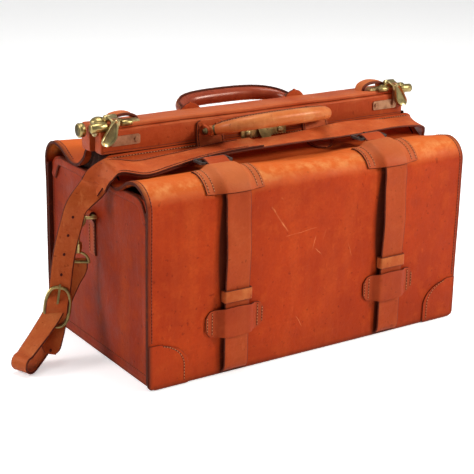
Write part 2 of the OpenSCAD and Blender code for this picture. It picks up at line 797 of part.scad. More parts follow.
// Bolt plate that slides on the back of the front bar, in the gap between the bars
module lock_bolt() {
    color(steel) translate([frame_x, 0, 0]) span([-14, -bar_y0 + 0.2, lock_z - 4], [4, -2.2, lock_z + 4]);
}

// Strike plate on the rear bar's front face
module lock_strike() {
    color(steel) translate([frame_x, 0, 0]) difference() {
        span([-22, -1.2, frame_z + 6], [22, 0, bar_top - 6]);
        rod_y(-2, 1, 0, lock_z, 4);
    }
}

base_panel();
base_board();
front_panel();
back_panel();
left_end_panel();
right_end_panel();
front_welt();
back_welt();
corner_patches();
end_rims();
end_boards();
lining();
front_shelf();
rear_shelf();
left_gusset();
right_gusset();
pivot_rivets();
left_strap();
right_strap();
front_upper_keepers();
back_upper_keepers();
lower_keepers();
left_slider_loop();
right_slider_loop();
left_strap_buckle();
right_strap_buckle();
left_buckle_prong();
right_buckle_prong();
ring_chapes();
left_d_ring();
right_d_ring();
left_swivel_eye();
right_swivel_eye();
left_snap_hook();
right_snap_hook();
left_hook_gate();
right_hook_gate();
shoulder_strap();
buckle_strap();
shoulder_buckle();
shoulder_buckle_prong();
front_frame_cover();
front_frame_steel();
rear_frame_cover();
rear_frame_steel();
catch_plates();
catch_pins();
left_catch_lever();
right_catch_lever();
catch_bars();
front_handle_chapes();
front_handle_pins();
front_handle();
rear_handle_chapes();
rear_handle_pins();
rear_handle();
lock_plate();
lock_slide();
lock_bolt();
lock_strike();
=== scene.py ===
import json
import math

import bmesh
import bpy
import numpy as np
from mathutils import Matrix, Vector


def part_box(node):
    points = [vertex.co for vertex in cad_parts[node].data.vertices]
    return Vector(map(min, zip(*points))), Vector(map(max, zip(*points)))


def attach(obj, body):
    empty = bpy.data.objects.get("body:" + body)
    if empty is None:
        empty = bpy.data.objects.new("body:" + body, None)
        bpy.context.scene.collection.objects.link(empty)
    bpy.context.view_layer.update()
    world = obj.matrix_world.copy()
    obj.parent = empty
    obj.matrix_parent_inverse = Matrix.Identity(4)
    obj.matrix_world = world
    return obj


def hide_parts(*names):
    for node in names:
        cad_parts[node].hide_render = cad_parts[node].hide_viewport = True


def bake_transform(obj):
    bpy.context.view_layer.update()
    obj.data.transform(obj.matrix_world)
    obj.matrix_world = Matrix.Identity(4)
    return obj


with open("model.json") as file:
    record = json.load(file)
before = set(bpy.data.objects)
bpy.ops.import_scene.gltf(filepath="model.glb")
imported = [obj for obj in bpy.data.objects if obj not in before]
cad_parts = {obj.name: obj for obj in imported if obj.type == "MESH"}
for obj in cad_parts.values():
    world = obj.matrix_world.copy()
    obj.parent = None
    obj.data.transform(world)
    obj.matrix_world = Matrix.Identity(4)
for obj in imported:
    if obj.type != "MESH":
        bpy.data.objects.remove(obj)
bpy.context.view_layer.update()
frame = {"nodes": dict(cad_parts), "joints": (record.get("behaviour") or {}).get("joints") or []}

MM = 0.001


def corners(node):
    """Lowest and highest corner of a CAD node, in millimetres."""
    lo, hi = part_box(node)
    return np.array(lo) / MM, np.array(hi) / MM


# ---------------------------------------------------------------- sizes from the frame
PANEL_LO, PANEL_HI = corners("front_panel")
SHELF_LO, SHELF_HI = corners("front_shelf")
END_LO, END_HI = corners("left_end_panel")
FBAR_LO, FBAR_HI = corners("front_frame_cover")
RBAR_LO, RBAR_HI = corners("rear_frame_cover")
SIDE_X = PANEL_HI[0]
FRONT_Y = -PANEL_LO[1]
LEATHER = PANEL_HI[1] - PANEL_LO[1]
PANEL_TOP = PANEL_HI[2]
SHOULDER_R = 35.0
CREST_Z = PANEL_TOP + SHOULDER_R
CREST_Y = FRONT_Y - SHOULDER_R
FRAME_X = (FBAR_LO[0] + FBAR_HI[0]) / 2
FRAME_Z = FBAR_LO[2]
STRAP_X = (corners("right_strap")[0][0] + corners("right_strap")[1][0]) / 2
END_X = -END_LO[0]

# ---------------------------------------------------------------- materials


class Nodes:
    """A small builder round one material's node tree."""

    def __init__(self, name):
        self.mat = bpy.data.materials.new(name)
        self.mat.use_nodes = True
        self.tree = self.mat.node_tree
        self.tree.nodes.clear()
        self.out = self.tree.nodes.new("ShaderNodeOutputMaterial")
        self.bsdf = self.tree.nodes.new("ShaderNodeBsdfPrincipled")
        self.tree.links.new(self.bsdf.outputs[0], self.out.inputs[0])
        self.coords = self.tree.nodes.new("ShaderNodeTexCoord").outputs["Object"]

    def put(self, socket, value):
        if isinstance(value, bpy.types.NodeSocket):
            self.tree.links.new(value, socket)
        else:
            socket.default_value = value

    def make(self, kind, out=0, **inputs):
        node = self.tree.nodes.new(kind)
        for key, value in inputs.items():
            if key.startswith("_"):
                setattr(node, key[1:], value)
            else:
                self.put(node.inputs[int(key[1:]) if key[0] == "i" and key[1:].isdigit() else key], value)
        return node.outputs[out]

    def noise(self, scale, detail=3.0, rough=0.55, stretch=None, turn=(0, 0, 0), distortion=0.0, shift=(0, 0, 0)):
        vector = self.coords
        if stretch or shift != (0, 0, 0) or turn != (0, 0, 0):
            vector = self.make("ShaderNodeMapping", Vector=vector, Scale=stretch or (1, 1, 1), Rotation=turn,
                               Location=shift)
        node = self.tree.nodes.new("ShaderNodeTexNoise")
        self.put(node.inputs["Vector"], vector)
        node.inputs["Scale"].default_value = scale
        node.inputs["Detail"].default_value = detail
        node.inputs["Roughness"].default_value = rough
        node.inputs["Distortion"].default_value = distortion
        return node.outputs[0]

    def ramp(self, value, low, high, a=0.0, b=1.0):
        return self.make("ShaderNodeMapRange", Value=value, i1=low, i2=high, i3=a, i4=b, _clamp=True)

    def mix(self, share, a, b, blend="MIX"):
        node = self.tree.nodes.new("ShaderNodeMix")
        node.data_type = "RGBA"
        node.blend_type = blend
        self.put(node.inputs[0], share)
        self.put(node.inputs[6], a)
        self.put(node.inputs[7], b)
        return node.outputs[2]

    def math(self, op, a, b=0.0, c=0.0):
        return self.make("ShaderNodeMath", _operation=op, i0=a, i1=b, i2=c)

    def bump(self, height, strength, distance, normal=None):
        node = self.tree.nodes.new("ShaderNodeBump")
        node.inputs["Strength"].default_value = strength
        node.inputs["Distance"].default_value = distance
        self.put(node.inputs["Height"], height)
        if normal is not None:
            self.put(node.inputs["Normal"], normal)
        return node.outputs[0]

    def line(self, scale, stretch, turn, shift, width):
        """A mask of thin stretched streaks, for scratches."""
        value = self.noise(scale, 1.0, 0.4, stretch, turn, 0.0, shift)
        away = self.math("ABSOLUTE", self.math("SUBTRACT", value, 0.5))
        return self.ramp(away, width, width * 0.25)


def rgb(r, g, b):
    return (r, g, b, 1.0)


def leather(name, base, dark, light, gloss=0.5, grain=1.0, zone=None, scratches=0.0, mottle=1.0, coat=0.0):
    """Vegetable-tanned leather: blotches, streaks, pores, fine creases, scratches and worn places."""
    n = Nodes(name)
    big = n.noise(7.0, 4.0, 0.6)
    mid = n.noise(38.0, 4.0, 0.62, shift=(3.1, 1.7, 0.4))
    fine = n.noise(260.0, 3.0, 0.6, shift=(0.3, 5.1, 2.2))
    streak = n.noise(30.0, 3.0, 0.55, stretch=(1.0, 1.0, 0.10), shift=(1.1, 0.0, 0.7))
    color = n.mix(n.ramp(big, 0.36, 0.70, 0.0, 0.85 * mottle), base, dark)
    color = n.mix(n.ramp(streak, 0.50, 0.72, 0.0, 0.40 * mottle), color, light)
    color = n.mix(n.ramp(mid, 0.52, 0.74, 0.0, 0.45 * mottle), color, light)
    color = n.mix(n.ramp(mid, 0.45, 0.28, 0.0, 0.40 * mottle), color, dark)
    color = n.mix(n.ramp(fine, 0.35, 0.65, 0.0, 0.30 * mottle), color, dark)
    speck = n.noise(150.0, 2.0, 0.5, shift=(6.1, 2.2, 8.8))
    color = n.mix(n.ramp(speck, 0.66, 0.74, 0.0, 0.55 * mottle), color, rgb(dark[0] * 0.45, dark[1] * 0.4, dark[2] * 0.5))
    rub = n.noise(95.0, 3.0, 0.7, stretch=(1.0, 1.0, 0.4), shift=(2.6, 9.1, 4.3))
    color = n.mix(n.ramp(rub, 0.64, 0.74, 0.0, 0.5 * mottle), color, light)
    if zone:
        color = zone(n, color)
    if scratches:
        for turn, shift in (((0, 0.55, 0.1), (0.2, 0.1, 0.0)), ((0, -0.35, 0.0), (4.2, 0.7, 1.3)),
                            ((0, 1.2, 0.2), (7.7, 2.1, 0.9))):
            mask = n.line(16.0, (0.16, 1.0, 2.4), turn, shift, 0.012)
            keep = n.ramp(n.noise(9.0, 2.0, 0.5, shift=shift), 0.52, 0.62)
            mask = n.math("MULTIPLY", n.math("MULTIPLY", mask, keep), scratches)
            color = n.mix(mask, color, light)
    n.put(n.bsdf.inputs["Base Color"], color)
    rough = n.ramp(mid, 0.3, 0.7, gloss - 0.09, gloss + 0.12)
    n.put(n.bsdf.inputs["Roughness"], rough)
    n.bsdf.inputs["Specular IOR Level"].default_value = 0.30
    n.bsdf.inputs["Specular Tint"].default_value = rgb(1.0, 0.42, 0.20)
    if coat:
        n.bsdf.inputs["Coat Weight"].default_value = coat
        n.bsdf.inputs["Coat Roughness"].default_value = 0.28
    pores = n.make("ShaderNodeTexVoronoi", Vector=n.coords, Scale=750.0)
    pores = n.ramp(pores, 0.0, 0.55)
    crease = n.noise(120.0, 4.0, 0.65, stretch=(1.0, 1.0, 0.5), distortion=0.6)
    normal = n.bump(pores, 0.30 * grain, 0.0004)
    normal = n.bump(crease, 0.45 * grain, 0.0010, normal)
    normal = n.bump(mid, 0.34 * grain, 0.0026, normal)
    n.put(n.bsdf.inputs["Normal"], normal)
    return n.mat


def top_light_zone(low, high, color_at_top, share):
    """Shifts the colour towards color_at_top between two heights (m): painted top light, lightening the upper parts as
    if lit from above.
    """

    def zone(n, color):
        z = n.make("ShaderNodeSeparateXYZ", 2, Vector=n.coords)
        wobble = n.math("MULTIPLY", n.math("SUBTRACT", n.noise(14.0, 3.0), 0.5), 0.045)
        mask = n.ramp(n.math("ADD", z, wobble), low, high, 0.0, share)
        return n.mix(mask, color, color_at_top)

    return zone


def scratch(n, color, x0, z0, x1, z1, half, share, tone):
    """A thin scratch from (x0, z0) to (x1, z1) on the front face, wandering a little."""
    split = n.tree.nodes.new("ShaderNodeSeparateXYZ")
    n.put(split.inputs[0], n.coords)
    wander = n.math("MULTIPLY", n.math("SUBTRACT", n.noise(45.0, 2.0), 0.5), 0.004)
    dx, dz = x1 - x0, z1 - z0
    length = math.hypot(dx, dz)
    dx, dz = dx / length, dz / length
    px = n.math("SUBTRACT", split.outputs[0], x0)
    pz = n.math("SUBTRACT", split.outputs[2], z0)
    along = n.math("ADD", n.math("MULTIPLY", px, dx), n.math("MULTIPLY", pz, dz))
    across = n.math("SUBTRACT", n.math("MULTIPLY", px, dz), n.math("MULTIPLY", pz, dx))
    mask = n.ramp(n.math("ABSOLUTE", n.math("ADD", across, wander)), half, half * 0.35)
    mask = n.math("MULTIPLY", mask, n.math("MULTIPLY", n.ramp(along, 0.0, 0.006), n.ramp(along, length, length - 0.006)))
    mask = n.math("MULTIPLY", mask, n.ramp(split.outputs[1], -0.10, -0.12))
    mask = n.math("MULTIPLY", mask, n.ramp(n.noise(60.0, 2.0), 0.40, 0.55, 0.25, 1.0))
    return n.mix(n.math("MULTIPLY", mask, share), color, tone)


def body_zone(n, color):
    """Front and back skins: shoulders lightened by painted top light, worn patches on the crest, darker low on the
    panel, painted shade along the crease of the neck and a painted strap shadow by each strap.
    """
    split = n.tree.nodes.new("ShaderNodeSeparateXYZ")
    n.put(split.inputs[0], n.coords)
    z = split.outputs[2]
    y = n.math("ABSOLUTE", split.outputs[1])
    wobble = n.math("MULTIPLY", n.math("SUBTRACT", n.noise(11.0, 4.0, 0.6), 0.5), 0.030)
    zz = n.math("ADD", z, wobble)
    # painted top light: the whole top of the skin is lightened as if lit from above
    shoulder = n.math("MULTIPLY", n.ramp(zz, 0.243, 0.262), n.ramp(y, 0.020, 0.060))
    color = n.mix(n.math("MULTIPLY", shoulder, 0.72), color, rgb(0.70, 0.150, 0.024))
    worn = n.math("MULTIPLY", n.ramp(zz, 0.250, 0.264), n.ramp(zz, 0.282, 0.268))
    worn = n.math("MULTIPLY", worn, n.ramp(y, 0.112, 0.130))
    worn = n.math("MULTIPLY", worn, n.ramp(n.noise(55.0, 3.0, 0.7), 0.42, 0.66))
    color = n.mix(n.math("MULTIPLY", worn, 0.55), color, rgb(0.78, 0.36, 0.12))
    # painted shade in the trough between the crest and the neck
    trough = n.math("MULTIPLY", n.ramp(y, 0.095, 0.070), n.ramp(y, 0.030, 0.050))
    trough = n.math("MULTIPLY", trough, n.ramp(z, 0.230, 0.250))
    color = n.mix(n.math("MULTIPLY", trough, 0.45), color, rgb(0.36, 0.045, 0.012))
    low = n.ramp(zz, 0.060, 0.0)
    color = n.mix(n.math("MULTIPLY", low, 0.30), color, rgb(0.30, 0.040, 0.012))
    for side in (-1, 1):
        # painted strap shadow: near-black under each strap and in a narrow bow along its left edge, where the strap's
        # cast shadow falls
        left = n.math("SUBTRACT", split.outputs[0], (side * STRAP_X - 19) * MM)
        bow = n.math("MULTIPLY", n.math("SINE", n.ramp(z, 0.096, 0.236, 0.0, math.pi)), 0.0045)
        left = n.math("ADD", left, bow)
        mask = n.math("MULTIPLY", n.ramp(left, -0.0042, -0.0008), n.ramp(left, 0.040, 0.034))
        mask = n.math("MULTIPLY", mask, n.ramp(z, 0.262, 0.246))
        mask = n.math("MULTIPLY", mask, n.ramp(y, 0.136, 0.140))
        color = n.mix(n.math("MULTIPLY", mask, 0.88), color, rgb(0.045, 0.009, 0.005))
    pale = rgb(0.80, 0.33, 0.11)
    for x0, z0, x1, z1, half, share in ((-0.075, 0.221, -0.046, 0.182, 0.0012, 0.75), (-0.060, 0.232, -0.054, 0.226, 0.0014, 0.5),
                                        (-0.052, 0.176, 0.002, 0.180, 0.0006, 0.35), (0.000, 0.170, -0.006, 0.150, 0.0008, 0.6),
                                        (0.018, 0.176, 0.012, 0.160, 0.0007, 0.5), (-0.002, 0.152, 0.010, 0.140, 0.0008, 0.5),
                                        (0.055, 0.150, 0.063, 0.128, 0.0005, 0.4), (-0.030, 0.060, -0.018, 0.040, 0.0006, 0.45)):
        color = scratch(n, color, x0, z0, x1, z1, half, share, pale)
    rim = n.ramp(n.math("ABSOLUTE", split.outputs[0]), SIDE_X * MM - 0.0060, SIDE_X * MM - 0.0010)
    hem = n.ramp(z, 0.008, 0.001)
    return n.mix(n.math("MULTIPLY", n.math("MAXIMUM", rim, hem), 0.75), color, rgb(0.10, 0.016, 0.007))


def edge_leather(name, color, rough=0.55):
    """Burnished cut edge, dark with lighter rubbed spots."""
    n = Nodes(name)
    spots = n.noise(160.0, 3.0, 0.65)
    mixed = n.mix(n.ramp(spots, 0.55, 0.8, 0.0, 0.55), color, rgb(color[0] * 3 + 0.05, color[1] * 2.6 + 0.012, color[2] * 2))
    n.put(n.bsdf.inputs["Base Color"], mixed)
    n.bsdf.inputs["Specular IOR Level"].default_value = 0.12
    n.put(n.bsdf.inputs["Roughness"], n.ramp(spots, 0.3, 0.7, rough - 0.1, rough + 0.15))
    n.put(n.bsdf.inputs["Normal"], n.bump(spots, 0.35, 0.0008))
    return n.mat


def metal(name, base, tarnish, amount, rough):
    """Aged metal: bright where rubbed, tarnished in blotches, with fine scratches."""
    n = Nodes(name)
    blotch = n.noise(70.0, 4.0, 0.62)
    fine = n.noise(520.0, 2.0, 0.5, stretch=(1.0, 1.0, 0.25))
    color = n.mix(n.ramp(blotch, 0.42, 0.66, 0.0, amount), base, tarnish)
    n.put(n.bsdf.inputs["Base Color"], color)
    n.put(n.bsdf.inputs["Metallic"], n.ramp(blotch, 0.45, 0.8, 1.0, 0.72))
    n.put(n.bsdf.inputs["Roughness"], n.math("ADD", n.ramp(blotch, 0.35, 0.7, rough, rough + 0.22),
                                             n.math("MULTIPLY", fine, 0.10)))
    n.put(n.bsdf.inputs["Normal"], n.bump(n.math("ADD", blotch, n.math("MULTIPLY", fine, 0.3)), 0.12, 0.0006))
    return n.mat


def thread(name, color):
    """Waxed linen thread with a fine twist."""
    n = Nodes(name)
    twist = n.make("ShaderNodeTexWave", 1, Vector=n.coords, Scale=900.0, Distortion=1.5)
    n.put(n.bsdf.inputs["Base Color"], n.mix(n.ramp(n.noise(90.0), 0.3, 0.7, 0.0, 0.5), color,
                                             rgb(color[0] * 0.6, color[1] * 0.5, color[2] * 0.45)))
    n.bsdf.inputs["Roughness"].default_value = 0.75
    n.put(n.bsdf.inputs["Normal"], n.bump(twist, 0.3, 0.0002))
    return n.mat


def woven(name, color):
    """Plain-weave lining cloth."""
    n = Nodes(name)
    warp = n.make("ShaderNodeTexWave", 1, Vector=n.coords, Scale=330.0, _bands_direction="X")
    weft = n.make("ShaderNodeTexWave", 1, Vector=n.coords, Scale=330.0, _bands_direction="Z")
    weave = n.math("MULTIPLY", warp, weft)
    dirt = n.noise(18.0, 4.0)
    color = n.mix(n.ramp(dirt, 0.35, 0.7, 0.0, 0.4), color, rgb(color[0] * 0.55, color[1] * 0.5, color[2] * 0.45))
    n.put(n.bsdf.inputs["Base Color"], n.mix(n.ramp(weave, 0.0, 1.0, 0.0, 0.25), color, rgb(0.5, 0.36, 0.22)))
    n.bsdf.inputs["Roughness"].default_value = 0.9
    n.put(n.bsdf.inputs["Normal"], n.bump(weave, 0.4, 0.0004))
    return n.mat


def fibre_board(name, color):
    """Grey-brown fibre board."""
    n = Nodes(name)
    fibres = n.noise(120.0, 4.0, 0.7, stretch=(0.3, 1.0, 1.0))
    n.put(n.bsdf.inputs["Base Color"], n.mix(n.ramp(fibres, 0.35, 0.7), color, rgb(color[0] * 0.6, color[1] * 0.6, color[2] * 0.6)))
    n.bsdf.inputs["Roughness"].default_value = 0.85
    n.put(n.bsdf.inputs["Normal"], n.bump(fibres, 0.3, 0.0006))
    return n.mat


# body leather: its zone adds painted top light, painted shade in the trough and painted strap shadows
BODY = leather("body_leather", rgb(0.51, 0.048, 0.006), rgb(0.31, 0.023, 0.004), rgb(0.62, 0.095, 0.016), 0.52,
               zone=body_zone, scratches=0.08)
PANEL_END = leather("end_leather", rgb(0.34, 0.028, 0.005), rgb(0.17, 0.013, 0.004), rgb(0.50, 0.072, 0.014), 0.55,
                    scratches=0.06)
# keeper leather, lightened towards the top with painted top light
KEEPER = leather("keeper_leather", rgb(0.42, 0.055, 0.014), rgb(0.28, 0.030, 0.009), rgb(0.54, 0.10, 0.028), 0.5,
                 zone=top_light_zone(0.245, 0.285, rgb(0.60, 0.17, 0.05), 0.75), mottle=0.7)
STRAP = leather("strap_leather", rgb(0.47, 0.068, 0.016), rgb(0.30, 0.034, 0.009), rgb(0.58, 0.130, 0.038), 0.48,
                mottle=0.8, scratches=0.06)
CARRY = leather("carry_leather", rgb(0.55, 0.105, 0.024), rgb(0.34, 0.042, 0.011), rgb(0.68, 0.20, 0.060), 0.45,
                mottle=0.9, scratches=0.08)
TAIL = leather("tail_leather", rgb(0.46, 0.085, 0.030), rgb(0.30, 0.040, 0.015), rgb(0.60, 0.19, 0.08), 0.48,
               mottle=0.9, scratches=0.08)
LOOP = leather("loop_leather", rgb(0.55, 0.130, 0.030), rgb(0.38, 0.058, 0.015), rgb(0.66, 0.23, 0.070), 0.5)
# frame leather, lightened on the bar tops with painted top light
FRAME = leather("frame_leather", rgb(0.46, 0.066, 0.016), rgb(0.32, 0.036, 0.009), rgb(0.56, 0.12, 0.030), 0.46,
                zone=top_light_zone(0.312, 0.324, rgb(0.58, 0.15, 0.05), 0.6), scratches=0.06, mottle=0.8)
GRIP_FRONT = leather("grip_front_leather", rgb(0.64, 0.185, 0.045), rgb(0.46, 0.085, 0.022), rgb(0.76, 0.34, 0.12), 0.40,
                     mottle=0.9, coat=0.12)
GRIP_REAR = leather("grip_rear_leather", rgb(0.34, 0.052, 0.018), rgb(0.20, 0.024, 0.010), rgb(0.48, 0.11, 0.035), 0.30,
                    mottle=0.9, coat=0.5)
TAB = leather("tab_leather", rgb(0.54, 0.100, 0.026), rgb(0.36, 0.048, 0.013), rgb(0.66, 0.19, 0.060), 0.46)
EDGE = edge_leather("edge_leather", rgb(0.070, 0.012, 0.005))
EDGE_RED = edge_leather("edge_red_leather", rgb(0.13, 0.026, 0.012))
DARK = edge_leather("inner_leather", rgb(0.035, 0.010, 0.006), 0.7)
BRASS = metal("brass_aged", rgb(0.52, 0.39, 0.15), rgb(0.075, 0.055, 0.022), 0.62, 0.24)
BRASS_BRIGHT = metal("brass_rubbed", rgb(0.66, 0.52, 0.24), rgb(0.20, 0.15, 0.055), 0.45, 0.20)
BRASS_DARK = metal("brass_dark", rgb(0.19, 0.145, 0.065), rgb(0.035, 0.028, 0.014), 0.75, 0.32)
BRASS_OLIVE = metal("brass_olive", rgb(0.30, 0.25, 0.11), rgb(0.06, 0.05, 0.02), 0.7, 0.34)
STEEL = metal("steel_dark", rgb(0.16, 0.15, 0.14), rgb(0.03, 0.026, 0.022), 0.6, 0.34)
PALE_THREAD = thread("pale_thread", rgb(0.62, 0.26, 0.10))
DARK_THREAD = thread("dark_thread", rgb(0.10, 0.022, 0.010))
RED_THREAD = thread("red_thread", rgb(0.30, 0.060, 0.022))
GROOVE = edge_leather("stitch_groove", rgb(0.12, 0.020, 0.008))
BRASS_ROSE = metal("brass_rose", rgb(0.50, 0.27, 0.15), rgb(0.24, 0.10, 0.050), 0.7, 0.36)
LINING = woven("lining_cloth", rgb(0.30, 0.20, 0.12))
BOARD = fibre_board("fibre_board", rgb(0.25, 0.18, 0.12))

# ---------------------------------------------------------------- mesh helpers


def new_piece(name, verts, faces, mats, face_mats=None, sharp=50.0, outward=True):
    """A mesh object from points in millimetres, smooth shaded with its hard edges kept."""
    mesh = bpy.data.meshes.new(name)
    mesh.from_pydata([tuple(p) for p in np.asarray(verts, float) * MM], [], [tuple(int(i) for i in f) for f in faces])
    for mat in mats:
        mesh.materials.append(mat)
    if face_mats is not None:
        mesh.polygons.foreach_set("material_index", np.asarray(face_mats, np.int32))
    if outward:
        bm = bmesh.new()
        bm.from_mesh(mesh)
        bmesh.ops.recalc_face_normals(bm, faces=bm.faces)
        bm.to_mesh(mesh)
        bm.free()
    mesh.polygons.foreach_set("use_smooth", [True] * len(mesh.polygons))
    mesh.set_sharp_from_angle(angle=math.radians(sharp))
    mesh.update()
    piece = bpy.data.objects.new(name, mesh)
    bpy.context.scene.collection.objects.link(piece)
    return piece


def join_parts(parts):
    """Joins (verts, faces, face_mats) triples into one."""
    verts, faces, mats, base = [], [], [], 0
    for v, f, m in parts:
        verts.append(np.asarray(v, float))
        faces += [tuple(i + base for i in face) for face in f]
        mats += list(m)
        base += len(v)
    return np.vstack(verts), faces, mats


def unit(v):
    v = np.asarray(v, float)
    return v / np.maximum(np.linalg.norm(v, axis=-1, keepdims=True), 1e-12)


def smooth_path(points, per=8, extra=None):
    """Catmull-Rom curve through points, with extra values carried along in further columns."""
    p = np.asarray(points, float)
    if extra is not None:
        p = np.hstack([p, np.asarray(extra, float).reshape(len(p), -1)])
    p = np.vstack([2 * p[0] - p[1], p, 2 * p[-1] - p[-2]])
    out = []
    for i in range(1, len(p) - 2):
        a, b, c, d = p[i - 1], p[i], p[i + 1], p[i + 2]
        # centripetal spacing keeps the curve from looping on uneven points
        t0, t1 = 0.0, max(np.linalg.norm((b - a)[:3]), 1e-6) ** 0.5
        t2 = t1 + max(np.linalg.norm((c - b)[:3]), 1e-6) ** 0.5
        t3 = t2 + max(np.linalg.norm((d - c)[:3]), 1e-6) ** 0.5
        for k in range(per):
            t = t1 + (t2 - t1) * k / per
            a1 = (t1 - t) / (t1 - t0) * a + (t - t0) / (t1 - t0) * b
            a2 = (t2 - t) / (t2 - t1) * b + (t - t1) / (t2 - t1) * c
            a3 = (t3 - t) / (t3 - t2) * c + (t - t2) / (t3 - t2) * d
            b1 = (t2 - t) / (t2 - t0) * a1 + (t - t0) / (t2 - t0) * a2
            b2 = (t3 - t) / (t3 - t1) * a2 + (t - t1) / (t3 - t1) * a3
            out.append((t2 - t) / (t2 - t1) * b1 + (t - t1) / (t2 - t1) * b2)
    out.append(p[-2])
    return np.array(out)


def tangents(path):
    return unit(np.gradient(path, axis=0))


def loft(rings, closed=False, mats=None):
    """Faces between rings of equal count, with fans over the ends unless closed."""
    rings = np.asarray(rings, float)
    m, n = rings.shape[:2]
    verts = rings.reshape(-1, 3)
    faces, fm = [], []
    for i in range(m if closed else m - 1):
        a, b = i * n, ((i + 1) % m) * n
        for j in range(n):
            k = (j + 1) % n
            faces.append((a + j, a + k, b + k, b + j))
            fm.append(0 if mats is None else mats[j])
    if not closed:
        for base, ring in ((0, rings[0]), ((m - 1) * n, rings[-1])):
            verts = np.vstack([verts, ring.mean(0)])
            c = len(verts) - 1
            for j in range(n):
                faces.append((base + j, base + (j + 1) % n, c))
                fm.append(1 if mats is not None else 0)
    return verts, faces, fm


def tube(p0, p1, r, n=18, cap=0.9):
    """A straight rod with eased ends."""
    p0, p1 = np.asarray(p0, float), np.asarray(p1, float)
    t = unit(p1 - p0)
    a = unit(np.cross(t, [0.3, 0.2, 1.0]))
    b = np.cross(t, a)
    length = np.linalg.norm(p1 - p0)
    u = np.arange(n) * 2 * math.pi / n
    rings = [p0 + t * q + r * k * (np.cos(u)[:, None] * a + np.sin(u)[:, None] * b)
             for q, k in ((0, 1 - cap / r), (cap, 1.0), (length - cap, 1.0), (length, 1 - cap / r))]
    return loft(rings)


def flat_section(half_w, half_t, crown=0.0, wide=9, side=3):
    """Closed section of a strap: flat or crowned faces and rounded edges, as (across, up, is_edge)."""
    r = min(half_t * 0.9, half_w * 0.3)
    xs = np.linspace(-(half_w - r), half_w - r, wide)
    top = [(x, half_t + crown * (1 - (x / half_w) ** 2)) for x in xs]
    low = [(x, -half_t + crown * (1 - (x / half_w) ** 2)) for x in xs[::-1]]
    ang = np.linspace(math.pi / 2, -math.pi / 2, side + 2)[1:-1]
    right = [(half_w - r + r * math.cos(a), half_t * math.sin(a)) for a in ang]
    left = [(-x, -y) for x, y in right]
    pts = top + right + low + left
    edge = [0] * (wide - 1) + [1] * (side + 1) + [0] * (wide - 1) + [1] * (side + 1)
    return np.array(pts), edge


def strip(path, across, width, thick, crown=0.0, wide=9):
    """A strap swept along path, with its ends rounded in thickness. Returns (verts, faces, mats)."""
    path = np.asarray(path, float)
    m = len(path)
    t = tangents(path)
    a = np.broadcast_to(np.asarray(across, float), (m, 3)).copy()
    a = unit(a - (a * t).sum(1, keepdims=True) * t)
    up = unit(np.cross(a, t))
    w = np.broadcast_to(np.asarray(width, float), (m,)) / 2
    h = np.broadcast_to(np.asarray(thick, float), (m,)) / 2
    cr = np.broadcast_to(np.asarray(crown, float), (m,))
    rings, edge = [], None
    for i in range(m):
        sec, edge = flat_section(w[i], h[i], cr[i], wide)
        rings.append(path[i] + sec[:, :1] * a[i] + sec[:, 1:] * up[i])
    # rounded ends: two more rings, drawn in
    for end, step in ((0, -1.0), (m - 1, 1.0)):
        for grow, shrink in ((0.28, 0.86), (0.42, 0.5)):
            sec, _ = flat_section(w[end] - (1 - shrink) * h[end], h[end] * shrink, cr[end], wide)
            ring = path[end] + step * grow * 2 * h[end] * t[end] + sec[:, :1] * a[end] + sec[:, 1:] * up[end]
            if step < 0:
                rings.insert(0, ring)
            else:
                rings.append(ring)
    return loft(rings, mats=edge)


def sheet(grid, thick, edge_round=0.35, inward=None):
    """Closed sheet: grid (nu, nv, 3) is the outer face; thickness goes along the inward normal."""
    g = np.asarray(grid, float)
    nu, nv = g.shape[:2]
    du, dv = np.gradient(g, axis=0), np.gradient(g, axis=1)
    normal = unit(np.cross(du, dv))
    if inward is not None and (normal * inward).sum() > 0:
        normal = -normal
    elif inward is None:
        pass
    inner = g - normal * thick if inward is None else g + np.sign(1.0) * (-normal) * thick
    verts = [g.reshape(-1, 3), inner.reshape(-1, 3)]
    faces, fm = [], []

    def quads(base, flip):
        for i in range(nu - 1):
            for j in range(nv - 1):
                a, b = base + i * nv + j, base + (i + 1) * nv + j
                f = (a, b, b + 1, a + 1)
                faces.append(f[::-1] if flip else f)
                fm.append(0)

    quads(0, False)
    quads(nu * nv, True)
    border = ([(i, 0) for i in range(nu)] + [(nu - 1, j) for j in range(1, nv)]
              + [(i, nv - 1) for i in range(nu - 2, -1, -1)] + [(0, j) for j in range(nv - 2, 0, -1)])
    mid = []
    for i, j in border:
        ins = g[i, j] - g[min(max(i, 1), nu - 2), min(max(j, 1), nv - 2)]
        nrm = normal[i, j]
        out = ins - (ins @ nrm) * nrm
        size = np.linalg.norm(out)
        out = out / size if size > 1e-9 else out
        mid.append((g[i, j] + inner[i, j]) / 2 + out * thick * edge_round)
    base = 2 * nu * nv
    verts.append(np.array(mid))
    k = len(border)
    for q in range(k):
        p = (q + 1) % k
        o1, o2 = border[q][0] * nv + border[q][1], border[p][0] * nv + border[p][1]
        faces.append((o1, base + q, base + p, o2))
        faces.append((base + q, nu * nv + o1, nu * nv + o2, base + p))
        fm += [1, 1]
    return np.vstack(verts), faces, fm


